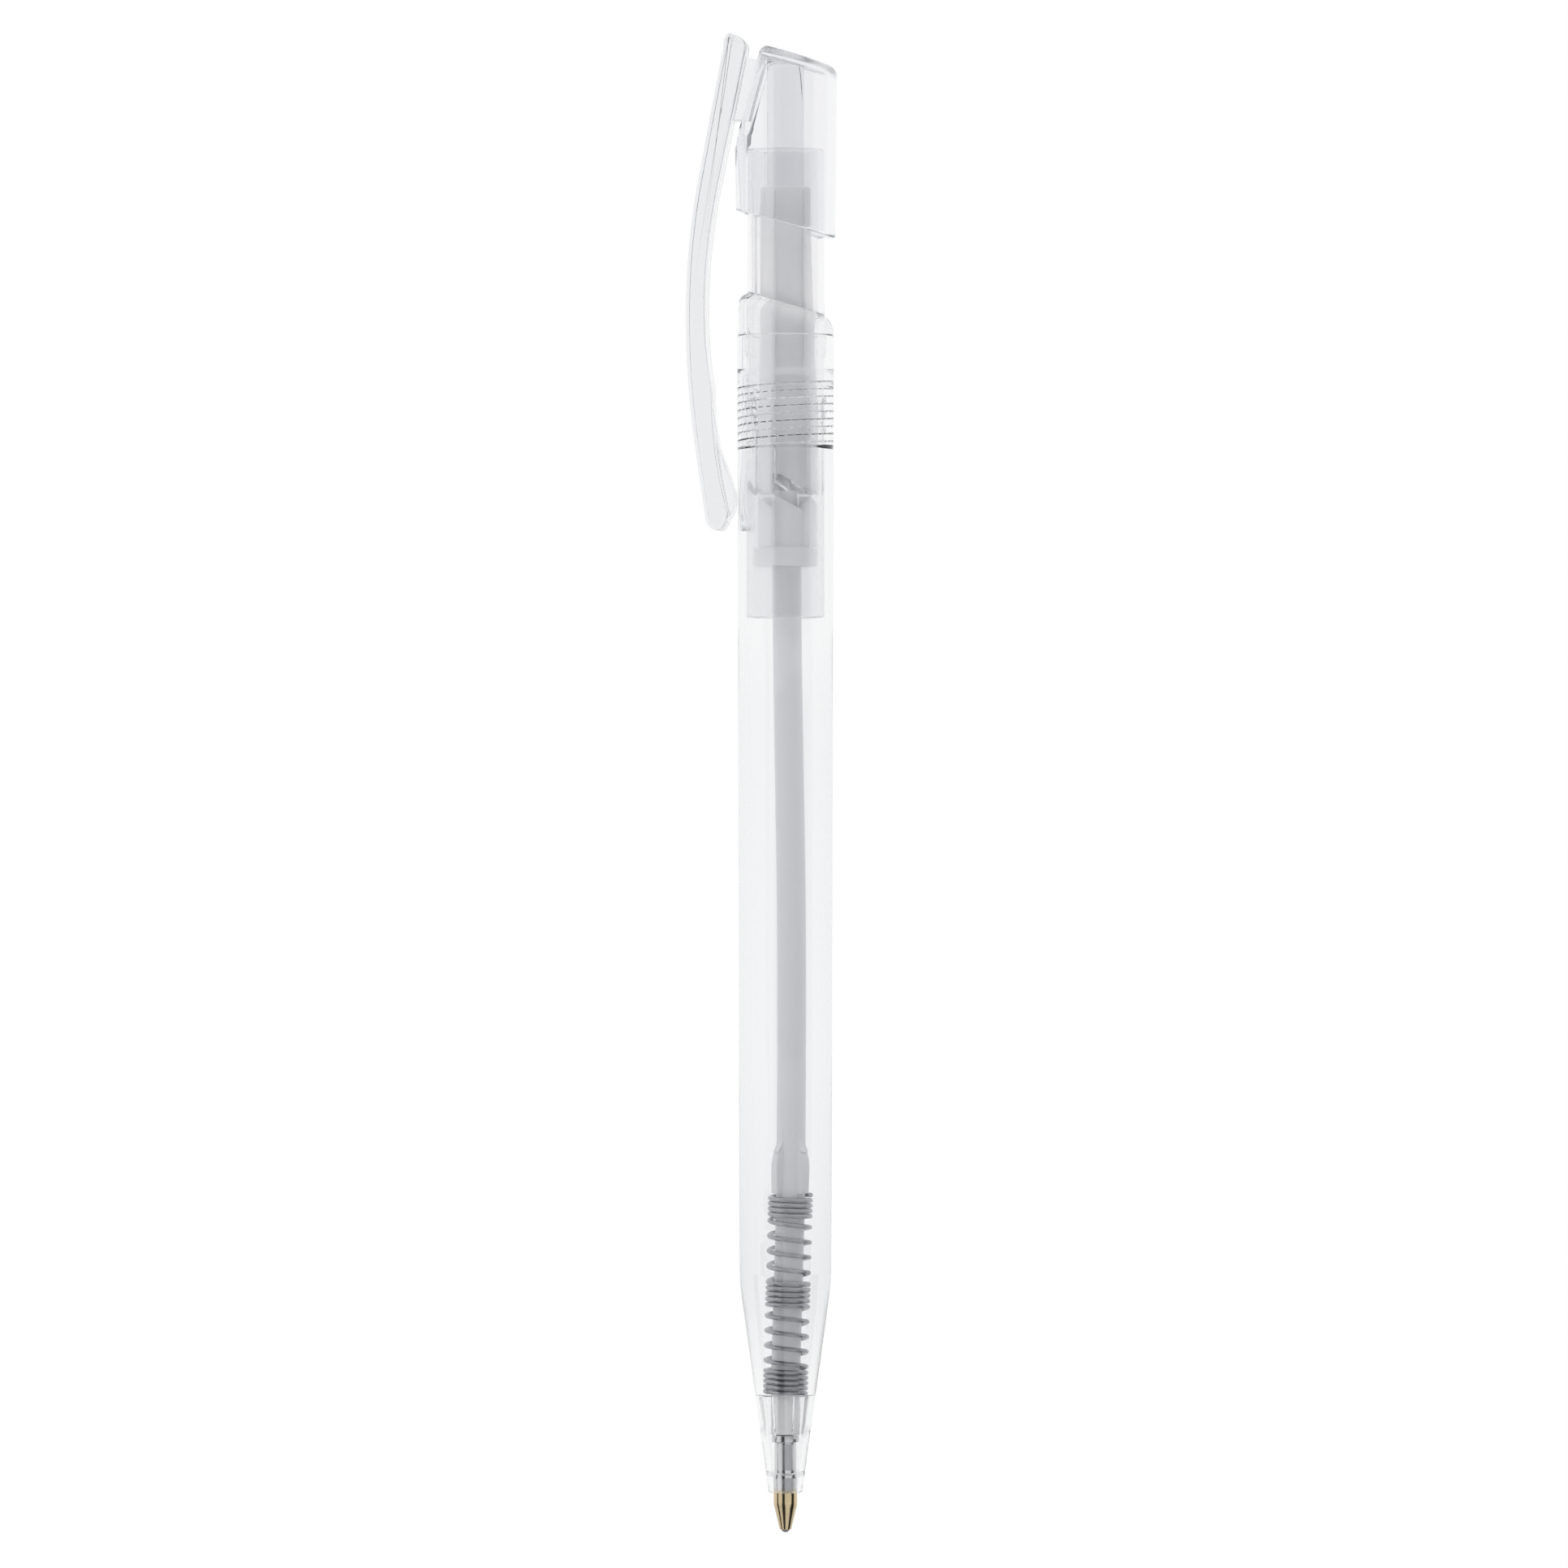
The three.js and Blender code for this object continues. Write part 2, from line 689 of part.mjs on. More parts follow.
// Refill tube with its spring wings, open at the rear.
function makeRefillTube() {
  let tube = solid(revolveRing([
    [refillBoreRadius, refillFootHeight],
    [refillRadius, refillFootHeight],
    [refillRadius, refillTopHeight],
    [refillBoreRadius, refillTopHeight],
  ], slimSides));
  for (let i = 0; i < wingCount; i += 1) {
    tube = tube.add(makeWing(i));
  }
  return tube;
}

// Metal tip: stem in the refill, collar, shank, cone and the socket that holds the ball.
function makeMetalTip() {
  const socket = ballRadius + ballGap;
  const lipAngle = Math.asin((ballRadius - ballShowing) / socket);
  const roofAngle = Math.acos(inkChannelRadius / socket);
  const socketSteps = 6;
  const cup = [];
  for (let i = 0; i <= socketSteps; i += 1) {
    const angle = THREE.MathUtils.lerp(roofAngle, -lipAngle, i / socketSteps);
    cup.push([socket * Math.cos(angle), ballRadius + socket * Math.sin(angle)]);
  }
  const collarTop = refillFootHeight - seatGap;
  const stem = refillBoreRadius - runningGap / 2;
  const stemTop = collarTop + tipStemLength;
  return solid(revolveRing([
    [socket + lipWall, ballShowing],
    [tipRadius, tipConeHeight],
    [tipRadius, tipShoulderHeight - seatGap],
    [shankRadius, tipShoulderHeight],
    [shankRadius, collarTop - tipCollarLength],
    [tipCollarRadius, collarTop - tipCollarLength + seatGap],
    [tipCollarRadius, collarTop],
    [stem, collarTop],
    [stem, stemTop - seatGap],
    [stem - seatGap, stemTop],
    [inkChannelRadius, stemTop],
    ...cup,
  ], slimSides));
}

// The ball that rolls the ink on.
function makeBall() {
  return solid(new THREE.SphereGeometry(ballRadius, 16, 12).translate(0, 0, ballRadius));
}

// A plain plug of ink or grease in the refill's bore, over a hollow for what stands below.
function makePlug(foot, length) {
  const radius = refillBoreRadius - runningGap / 2;
  const top = foot + length;
  return solid(revolve([[0, foot], [radius, foot], [radius, top], [0, top]], slimSides));
}

// Centre line of the spring: left-handed curls, with a straight stub of one wire at each end.
function springLine() {
  const curls = springStretches.reduce((sum, stretch) => sum + stretch.curls, 0);
  const climbed = springStretches.reduce((sum, part) => sum + part.curls * part.pitch, 0);
  const rest = springTopHeight - springFootHeight - springWire - climbed;
  const stretches = [...springStretches, { curls: rest / closePitch, pitch: closePitch }];
  const points = [];
  let angle = 0;
  let height = springFootHeight + wireRadius;
  for (const { curls: count, pitch } of stretches) {
    const steps = Math.max(1, Math.round(count * curlSteps));
    for (let i = 0; i < steps; i += 1) {
      points.push({ angle, height, past: 0 });
      angle -= 2 * Math.PI / curlSteps;
      height += count * pitch / steps;
    }
  }
  points.push({ angle, height, past: 0 });
  const first = { ...points[0], past: -springWire };
  const last = { ...points[points.length - 1], past: springWire };
  console.log(`Spring curls: ${(curls + rest / closePitch).toFixed(1)}`);
  return [first, ...points, last];
}

// Where a point of the spring's centre line lies. Stubs run on along the tangent.
function springPoint({ angle, height, past }) {
  const outward = new THREE.Vector3(Math.cos(angle), Math.sin(angle), 0);
  const along = new THREE.Vector3(Math.sin(angle), -Math.cos(angle), 0);
  const centre = outward.clone().multiplyScalar(coilRadius).addScaledVector(along, past);
  centre.z = height;
  return { centre, outward };
}

// Least distance between the surfaces of two curls, measured on the centre line.
function leastCurlGap(line) {
  const centres = line.map((point) => springPoint(point).centre);
  let least = Infinity;
  for (let i = 0; i < centres.length; i += 1) {
    for (let j = i + curlSteps / 2; j < centres.length; j += 1) {
      least = Math.min(least, centres[i].distanceTo(centres[j]));
    }
  }
  return least - springWire;
}

// Return spring: one unbroken wire.
function makeReturnSpring() {
  const line = springLine();
  console.log(`Least gap between spring curls: ${leastCurlGap(line).toFixed(2)} mm`);
  const up = new THREE.Vector3(0, 0, 1);
  const points = [];
  for (const point of line) {
    const { centre, outward } = springPoint(point);
    for (let k = 0; k < wireSides; k += 1) {
      const around = 2 * Math.PI * k / wireSides;
      const spot = centre.clone()
        .addScaledVector(outward, wireRadius * Math.cos(around))
        .addScaledVector(up, wireRadius * Math.sin(around));
      points.push(spot.x, spot.y, spot.z);
    }
  }
  const index = [];
  for (let i = 0; i < line.length - 1; i += 1) {
    for (let k = 0; k < wireSides; k += 1) {
      const a = i * wireSides + k;
      const b = i * wireSides + (k + 1) % wireSides;
      index.push(a, a + wireSides, b + wireSides, a, b + wireSides, b);
    }
  }
  const last = (line.length - 1) * wireSides;
  for (let k = 1; k < wireSides - 1; k += 1) {
    index.push(0, k, k + 1, last, last + k + 1, last + k);
  }
  const geometry = new THREE.BufferGeometry();
  geometry.setAttribute('position', new THREE.Float32BufferAttribute(points, 3));
  geometry.setIndex(index);
  return solid(geometry);
}

const pen = new THREE.Group();

// Adds a piece to the pen under its name.
function addPiece(name, body, material) {
  const mesh = new THREE.Mesh(geometryOf(body), material);
  mesh.name = name;
  pen.add(mesh);
}

const inkFoot = refillFootHeight - seatGap + tipStemLength + 3 * seatGap;
const greaseFoot = inkFoot + inkLength + 3 * seatGap;

addPiece('barrel', makeBarrel(), materials.clear);
addPiece('upper_sleeve', makeUpperSleeve(), materials.clear);
addPiece('push_cap_clip', makePushCap(), materials.clear);
addPiece('plunger', makePlunger(), materials.frosted);
addPiece('cam_rotor', makeCamRotor(), materials.frosted);
addPiece('refill_tube', makeRefillTube(), materials.tube);
addPiece('ink_column', makePlug(inkFoot, inkLength), materials.ink);
addPiece('grease_follower', makePlug(greaseFoot, greaseLength), materials.grease);
addPiece('metal_tip', makeMetalTip(), materials.brass);
addPiece('writing_ball', makeBall(), materials.carbide);
addPiece('return_spring', makeReturnSpring(), materials.steel);

pen.position.z = -gripHeight;

export default pen;
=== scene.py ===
"""A clear retractable ballpoint pen, its writing point out, in a pale studio."""

import math

import bmesh
import bpy
from bpy.props import (
    FloatProperty,
    FloatVectorProperty,
    IntProperty,
    PointerProperty,
)
from mathutils import Matrix, Vector


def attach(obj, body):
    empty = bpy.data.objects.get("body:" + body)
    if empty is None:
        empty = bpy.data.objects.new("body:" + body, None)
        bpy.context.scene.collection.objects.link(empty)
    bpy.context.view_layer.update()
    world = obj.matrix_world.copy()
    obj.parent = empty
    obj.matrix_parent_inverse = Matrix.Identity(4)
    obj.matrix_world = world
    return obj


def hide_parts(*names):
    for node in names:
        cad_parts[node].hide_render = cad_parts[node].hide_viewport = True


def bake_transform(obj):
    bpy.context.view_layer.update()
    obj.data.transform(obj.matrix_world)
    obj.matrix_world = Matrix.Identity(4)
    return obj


bl_info = {
    "name": "Clear Ballpoint Pen",
    "version": (1, 0, 0),
    "blender": (4, 5, 0),
    "location": "View3D > Sidebar > Pen",
    "description": "Builds a clear retractable ballpoint pen piece by piece",
    "category": "Object",
}

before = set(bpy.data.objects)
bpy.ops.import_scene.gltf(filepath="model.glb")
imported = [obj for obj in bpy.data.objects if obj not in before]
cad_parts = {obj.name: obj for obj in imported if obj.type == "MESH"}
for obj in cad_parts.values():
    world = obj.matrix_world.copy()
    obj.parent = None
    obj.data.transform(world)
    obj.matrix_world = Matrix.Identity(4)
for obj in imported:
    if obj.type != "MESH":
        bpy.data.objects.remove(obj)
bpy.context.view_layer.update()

# Pieces are drawn in millimetres, with heights above the writing point. The frame's
# origin lies on the pen's axis at the grip.
MM = 0.001
GRIP_HEIGHT = 35.0

ROUND_STEPS = 120
SLIM_STEPS = 48
SHARP_ANGLE = math.radians(32)

# Slope of the cap's top and of the sleeve's shoulder, and the cap's height on the axis
OBLIQUE = math.tan(math.radians(16.2))
CAP_TOP = 143.5


# Colour and mesh helpers

def linear_colour(code):
    """Linear red, green and blue from an sRGB hex code such as d8dadc."""
    channels = [int(code[i:i + 2], 16) / 255 for i in (0, 2, 4)]
    return tuple(
        c / 12.92 if c <= 0.04045 else ((c + 0.055) / 1.055) ** 2.4 for c in channels
    )


def smoothly(share):
    """Eases a share from 0 to 1, level at both ends."""
    share = min(max(share, 0.0), 1.0)
    return share * share * (3 - 2 * share)


def rounded(points, steps=4):
    """An outline of (radius, height) points. A third number rounds that corner."""
    outline = []
    count = len(points)
    for i, point in enumerate(points):
        corner = Vector(point[:2])
        if len(point) < 3:
            outline.append(tuple(corner))
            continue
        before = Vector(points[i - 1][:2])
        after = Vector(points[(i + 1) % count][:2])
        start = corner + (before - corner).normalized() * point[2]
        end = corner + (after - corner).normalized() * point[2]
        for k in range(steps + 1):
            share = k / steps
            near = start.lerp(corner, share)
            far = corner.lerp(end, share)
            outline.append(tuple(near.lerp(far, share)))
    return outline


def held(outline, closed, reach=0.12):
    """Adds a point close to both ends of each long line, which keeps its shading true."""
    ends = outline[1:] + (outline[:1] if closed else [])
    points = []
    for start, end in zip(outline, ends):
        points.append(start)
        length = math.dist(start, end)
        if length > 6 * reach:
            near = Vector(start).lerp(Vector(end), reach / length)
            far = Vector(end).lerp(Vector(start), reach / length)
            points += [tuple(near), tuple(far)]
    return points if closed else points + outline[-1:]


def turned(outline, steps=ROUND_STEPS, closed=True):
    """A bmesh in millimetres, spun about the pen's axis from (radius, height) points."""
    outline = held(outline, closed)
    shape = bmesh.new()
    verts = [shape.verts.new((radius, 0, height)) for radius, height in outline]
    pairs = list(zip(verts, verts[1:]))
    if closed:
        pairs.append((verts[-1], verts[0]))
    edges = [shape.edges.new(pair) for pair in pairs]
    bmesh.ops.spin(
        shape,
        geom=verts + edges,
        cent=(0, 0, 0),
        axis=(0, 0, 1),
        angle=math.tau,
        steps=steps,
        use_merge=True,
    )
    bmesh.ops.remove_doubles(shape, verts=shape.verts, dist=1e-4)
    return shape


def finished(shape, name, material):
    """The object of a bmesh drawn in millimetres, with its mesh in metres in the frame."""
    bmesh.ops.remove_doubles(shape, verts=shape.verts, dist=1e-5)
    bmesh.ops.recalc_face_normals(shape, faces=shape.faces)
    bmesh.ops.translate(shape, verts=shape.verts, vec=(0, 0, -GRIP_HEIGHT))
    bmesh.ops.scale(shape, verts=shape.verts, vec=(MM, MM, MM))
    mesh = bpy.data.meshes.new(name)
    shape.to_mesh(mesh)
    shape.free()
    mesh.materials.append(material)
    mesh.shade_smooth()
    mesh.set_sharp_from_angle(angle=SHARP_ANGLE)
    piece = bpy.data.objects.new(name, mesh)
    bpy.context.scene.collection.objects.link(piece)
    return piece


def united(piece, others):
    """Joins other closed pieces to a piece and removes them."""
    for other in others:
        union = piece.modifiers.new("Union", "BOOLEAN")
        union.operation = "UNION"
        union.solver = "EXACT"
        union.object = other
    graph = bpy.context.evaluated_depsgraph_get()
    mesh = bpy.data.meshes.new_from_object(piece.evaluated_get(graph))
    piece.modifiers.clear()
    piece.data = mesh
    mesh.shade_smooth()
    mesh.set_sharp_from_angle(angle=SHARP_ANGLE)
    flat = piece.modifiers.new("True Flats", "WEIGHTED_NORMAL")
    flat.keep_sharp = True
    for other in others:
        bpy.data.objects.remove(other)
    return piece


def dress(node, material):
    """Gives the object of a CAD node a material of this scene."""
    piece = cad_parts[node]
    piece.data.materials.clear()
    piece.data.materials.append(material)


# Material helpers

def add_node(tree, kind, inputs=None, **settings):
    """Adds a node. inputs gives its sockets a value or a link from another socket."""
    node = tree.nodes.new(kind)
    for name, value in settings.items():
        setattr(node, name, value)
    for name, value in (inputs or {}).items():
        if isinstance(value, bpy.types.NodeSocket):
            tree.links.new(value, node.inputs[name])
        else:
            node.inputs[name].default_value = value
    return node


def new_material(name):
    """An empty node material of a name, and its node tree."""
    material = bpy.data.materials.new(name)
    material.use_nodes = True
    material.node_tree.nodes.clear()
    return material, material.node_tree


def height_blend(tree, low, high, below, above):
    """A colour that changes from one to another between two heights over the point."""
    place = add_node(tree, "ShaderNodeTexCoord")
    split = add_node(tree, "ShaderNodeSeparateXYZ", {"Vector": place.outputs["Object"]})
    share = add_node(
        tree, "ShaderNodeMapRange",
        {
            "Value": split.outputs["Z"],
            "From Min": (low - GRIP_HEIGHT) * MM,
            "From Max": (high - GRIP_HEIGHT) * MM,
        },
    )
    mixed = add_node(
        tree, "ShaderNodeMix", {"Factor": share.outputs["Result"]}, data_type="RGBA"
    )
    ends = [socket for socket in mixed.inputs if socket.type == "RGBA"]
    ends[0].default_value = below
    ends[1].default_value = above
    return next(socket for socket in mixed.outputs if socket.type == "RGBA")


def flow_marks(tree, width, strength, depth):
    """Faint moulding flow lines along the pen, as a bump of a real width and depth."""
    place = add_node(tree, "ShaderNodeTexCoord")
    stretch = add_node(
        tree, "ShaderNodeMapping",
        {"Vector": place.outputs["Object"], "Scale": (1, 1, 0.06)},
    )
    noise = add_node(
        tree, "ShaderNodeTexNoise",
        {"Vector": stretch.outputs["Vector"], "Scale": 1 / (width * MM), "Detail": 2},
    )
    bump = add_node(
        tree, "ShaderNodeBump",
        {"Height": noise.outputs["Fac"], "Strength": strength, "Distance": depth * MM},
    )
    return noise, bump


def shaded(tree, inputs):
    """Ends a material with a Principled shader and gives its output node."""
    shader = add_node(tree, "ShaderNodeBsdfPrincipled", inputs)
    return add_node(tree, "ShaderNodeOutputMaterial", {"Surface": shader.outputs["BSDF"]})


def roughness_between(tree, noise, low, high):
    """A roughness that a noise varies between two values."""
    spread = add_node(
        tree, "ShaderNodeMapRange",
        {"Value": noise.outputs["Fac"], "To Min": low, "To Max": high},
    )
    return spread.outputs["Result"]


def satin_towards(tree, polished, begin, full, amount, lean=0.0):
    """A roughness that changes from a polished one at the height begin to an amount at
    the height full. lean tilts these heights, as the cap's top slants."""
    place = add_node(tree, "ShaderNodeTexCoord")
    level = add_node(tree, "ShaderNodeVectorMath", operation="DOT_PRODUCT")
    tree.links.new(place.outputs["Object"], level.inputs[0])
    level.inputs[1].default_value = (lean, 0, 1)
    change = add_node(
        tree, "ShaderNodeMapRange",
        {
            "Value": level.outputs["Value"],
            "From Min": (begin - GRIP_HEIGHT) * MM,
            "From Max": (full - GRIP_HEIGHT) * MM,
            "To Min": polished,
            "To Max": amount,
        },
    )
    return change.outputs["Result"]


def clear_styrene(name, density, wall, satin=None):
    """Crystal polystyrene from a polished mould: glossy, with faint flow lines. density
    is how strongly light takes on the tint inside, per metre, and wall is the tint that
    each surface gives. satin holds the last values of satin_towards, where the surface
    is less polished."""
    colours = bpy.context.scene.pen_colours
    material, tree = new_material(name)
    noise, bump = flow_marks(tree, width=2.5, strength=0.05, depth=0.01)
    roughness = roughness_between(tree, noise, 0.0, 0.02)
    if satin:
        roughness = satin_towards(tree, roughness, *satin)
    output = shaded(tree, {
        "Base Color": (*wall, 1),
        "Roughness": roughness,
        "IOR": 1.57,
        "Transmission Weight": 1.0,
        "Normal": bump.outputs["Normal"],
    })
    inside = add_node(
        tree, "ShaderNodeVolumeAbsorption",
        {"Color": (*colours.clear_tint, 1), "Density": density},
    )
    tree.links.new(inside.outputs["Volume"], output.inputs["Volume"])
    return material


def barrel_styrene():
    """Water-clear polystyrene of the barrel."""
    colours = bpy.context.scene.pen_colours
    return clear_styrene("clear_styrene_barrel", colours.barrel_density, colours.barrel_wall)


def sleeve_styrene():
    """Clear polystyrene of the sleeve, satin below its thread, where the core of the
    mould that forms the stops isn't polished."""
    colours = bpy.context.scene.pen_colours
    satin = (THREAD_FOOT - 0.4, THREAD_FOOT - 1.2, 0.15)
    return clear_styrene(
        "clear_styrene_sleeve", colours.sleeve_density, colours.sleeve_wall, satin
    )


def cap_styrene():
    """Clear polystyrene of the cap and its clip, with a satin press face."""
    colours = bpy.context.scene.pen_colours
    satin = (CAP_TOP - 1.3, CAP_TOP - 0.6, 0.25, OBLIQUE)
    return clear_styrene("clear_styrene_cap", colours.cap_density, colours.cap_wall, satin)


def milky_acetal():
    """Natural acetal, satin moulded: slippery milky white that lets some light in."""
    material, tree = new_material("milky_acetal_moulded")
    noise, bump = flow_marks(tree, width=0.6, strength=0.2, depth=0.01)
    shaded(tree, {
        "Base Color": (*bpy.context.scene.pen_colours.acetal, 1),
        "Roughness": roughness_between(tree, noise, 0.4, 0.55),
        "IOR": 1.48,
        "Subsurface Weight": 0.7,
        "Subsurface Radius": (1, 1, 1),
        "Subsurface Scale": 1.2 * MM,
        "Normal": bump.outputs["Normal"],
    })
    return material


def milky_tube():
    """Extruded polypropylene tube: satin, greyer where the ink stands behind its wall."""
    colours = bpy.context.scene.pen_colours
    material, tree = new_material("milky_polypropylene_tube")
    noise, bump = flow_marks(tree, width=0.5, strength=0.25, depth=0.01)
    ink_end = height_blend(tree, 13.2, 14.4, (*colours.tube_end, 1), (*colours.tube, 1))
    shaded(tree, {
        "Base Color": ink_end,
        "Roughness": roughness_between(tree, noise, 0.3, 0.45),
        "IOR": 1.49,
        "Normal": bump.outputs["Normal"],
    })
    return material


def ink_paste():
    """Black ballpoint ink paste: thick and glossy."""
    material, tree = new_material("black_ink_paste")
    noise, bump = flow_marks(tree, width=1.0, strength=0.1, depth=0.01)
    shaded(tree, {
        "Base Color": (*linear_colour("17181c"), 1),
        "Roughness": roughness_between(tree, noise, 0.2, 0.35),
        "Normal": bump.outputs["Normal"],
    })
    return material


def follower_grease():
    """Pale clear grease that follows the ink down."""
    material, tree = new_material("pale_follower_grease")
    noise, bump = flow_marks(tree, width=1.0, strength=0.1, depth=0.01)
    shaded(tree, {
        "Base Color": (*linear_colour("dcd6b4"), 1),
        "Roughness": roughness_between(tree, noise, 0.25, 0.4),
        "Transmission Weight": 0.6,
        "Normal": bump.outputs["Normal"],
    })
    return material


def turned_metal(name, colours, ring_spacing, low, high):
    """A metal with fine rings or lines from its tool, ring_spacing in millimetres. A
    second colour starts above the cone of the writing point, with its plating."""
    material, tree = new_material(name)
    place = add_node(tree, "ShaderNodeTexCoord")
    rings = add_node(
        tree, "ShaderNodeTexWave",
        {
            "Vector": place.outputs["Object"],
            "Scale": 0.314 / (ring_spacing * MM),
            "Distortion": 1.5,
            "Detail": 1.0,
        },
        wave_type="BANDS",
        bands_direction="Z",
    )
    bump = add_node(
        tree, "ShaderNodeBump",
        {"Height": rings.outputs["Fac"], "Strength": 0.15, "Distance": 0.002 * MM},
    )
    colour = (*colours[0], 1)
    if len(colours) > 1:
        colour = height_blend(tree, 4.0, 4.4, colour, (*colours[1], 1))
    shaded(tree, {
        "Base Color": colour,
        "Metallic": 1.0,
        "Roughness": roughness_between(tree, rings, low, high),
        "Normal": bump.outputs["Normal"],
    })
    return material


def tip_brass():
    """Turned brass, bare at the point and plated above: warm, sharp reflections."""
    colours = bpy.context.scene.pen_colours
    return turned_metal("part_plated_brass", [colours.brass, colours.nickel], 0.12, 0.12, 0.2)


def spring_steel():
    """Drawn stainless spring wire: bright, with fine lines from the drawing die."""
    colours = bpy.context.scene.pen_colours
    return turned_metal("drawn_spring_steel", [colours.steel], 0.08, 0.16, 0.28)


def hard_metal():
    """Lapped tungsten carbide ball: dark and mirror bright."""
    return turned_metal("lapped_tungsten_carbide", [linear_colour("77787c")], 0.05, 0.05, 0.1)


# Sizes and colours a user would change

class PenSizes(bpy.types.PropertyGroup):
    """Sizes of the pen's finer forms."""

    thread_pitch: FloatProperty(
        name="Thread Pitch",
        description="Climb of the sleeve's thread in one turn, in millimetres",
        default=1.455,
        min=0.5,
        max=3.0,
    )
    refill_bow: FloatProperty(
        name="Refill Bow",
        description="How far the slender refill bows out of the axis, in millimetres",
        default=0.6,
        min=0.0,
        max=0.8,
    )
    spring_curls: IntProperty(
        name="Spring Curls",
        description="Number of curls of the return spring",
        default=22,
        min=10,
        max=30,
    )
    camera_distance: FloatProperty(
        name="Camera Distance",
        description="From the camera to the pen's axis",
        default=0.75,
        unit="LENGTH",
        subtype="DISTANCE",
    )


def colour_property(name, description, code):
    """A colour that a user can change, first set from an sRGB hex code."""
    return FloatVectorProperty(
        name=name,
        description=description,
        default=linear_colour(code),
        subtype="COLOR",
        min=0.0,
        max=1.0,
    )


def density_property(name, description, density):
    """How strongly a clear plastic takes on its tint, per metre."""
    return FloatProperty(
        name=name, description=description, default=density, min=0.0, max=1000.0
    )


class PenColours(bpy.types.PropertyGroup):
    """Colours of the pen's materials."""

    clear_tint: colour_property(
        "Clear Plastic", "Tint that light takes on in the clear plastic", "e5e7e9"
    )
    barrel_density: density_property(
        "Barrel Tint Depth",
        "How strongly the barrel's plastic takes on its tint, per metre",
        210.0,
    )
    barrel_wall: colour_property(
        "Barrel Surface", "Tint that each surface of the barrel gives", "ffffff"
    )
    sleeve_density: density_property(
        "Sleeve Tint Depth",
        "How strongly the upper sleeve's plastic takes on its tint, per metre",
        60.0,
    )
    sleeve_wall: colour_property(
        "Sleeve Surface", "Tint that each surface of the upper sleeve gives", "f7f7f8"
    )
    cap_density: density_property(
        "Cap Tint Depth",
        "How strongly the cap's plastic takes on its tint, per metre",
        100.0,
    )
    cap_wall: colour_property(
        "Cap Surface", "Tint that each surface of the cap gives", "fafafb"
    )
    acetal: colour_property(
        "Click Parts", "Milky plastic of the plunger and rotor", "f8f8f9"
    )
    tube_end: colour_property(
        "Refill Tube End",
        "Milky plastic of the refill tube where no ink stands in it",
        "f0f1f2",
    )
    tube: colour_property("Refill Tube", "Milky plastic of the refill tube", "e9eaec")
    brass: colour_property("Point", "Plated brass of the writing point", "cdbb98")
    nickel: colour_property(
        "Point Plating", "Bright plating on the upper part of the writing point", "d2d3d4"
    )
    steel: colour_property("Spring", "Steel of the return spring", "a4a6aa")


# Pieces, in millimetres and degrees

BARREL_RIM = 116.05

SLEEVE_RADIUS = 3.78
SLEEVE_BORE = 3.2
SLEEVE_FOOT = 88.75
SLEEVE_TOP = 134.05
NECK_FOOT = 119.6
KEYWAY_DEPTH = 0.12
KEYWAY_START = 133.5

THREAD_FOOT = 105.0
THREAD_TOP = 112.0
THREAD_DEPTH = 0.2
THREAD_FLANK = 0.12
THREAD_ROW = 0.045

STOP_TIP = 100.55
STOP_TOP = 106.5
STOP_TAPER = 3.5
STOP_RADIUS = 2.6
STOP_PITCH = 90
STOP_SWEEP = 54
GROOVE_PHASE = -30
TOOTH_PHASE = -15
TOOTH_HEIGHT = 2.2
RAMP_HEIGHT = 1.2
RIB_RADIUS = 3.12
RIB_SWEEP = 28

SPRING_SEAT = 13.4
WING_FOOT = 32.95
REFILL_RADIUS = 1.41
REFILL_BORE = 0.98
INK_FOOT = 14.7
INK_TOP = 70.65
GREASE_TOP = 76.7


def place_of(vert):
    """Radius, angle in degrees and height of a vertex."""
    angle = math.degrees(math.atan2(vert.co.y, vert.co.x))
    return math.hypot(vert.co.x, vert.co.y), angle, vert.co.z


def move_to(vert, radius, height):
    """Moves a vertex to a radius and a height, on its own side of the axis."""
    scale = radius / math.hypot(vert.co.x, vert.co.y)
    vert.co.x *= scale
    vert.co.y *= scale
    vert.co.z = height


def thread_ridge(angle, height):
    """Share of the thread's depth at a place, from 0 in the valley to 1 on the crest."""
    pitch = bpy.context.scene.pen_sizes.thread_pitch
    phase = (height / pitch - angle / 360) % 1
    flank = 0.5 + (0.25 - abs(phase - 0.5)) * pitch / THREAD_FLANK
    ends = smoothly((height - THREAD_FOOT) / 0.5) * smoothly((THREAD_TOP - height) / 1.2)
    return smoothly(flank) * ends


def thread_rows(radius):
    """The outline points of a threaded stretch, from its foot up."""
    count = round((THREAD_TOP - THREAD_FOOT) / THREAD_ROW)
    return [(radius, THREAD_FOOT + THREAD_ROW * i) for i in range(count + 1)]


def within(angle, middle, sweep, edge=2.5):
    """1 in a sweep of degrees about a middle, 0 outside, with a soft edge."""
    away = abs((angle - middle + STOP_PITCH / 2) % STOP_PITCH - STOP_PITCH / 2)
    return smoothly(0.5 + (sweep / 2 - away) / edge)


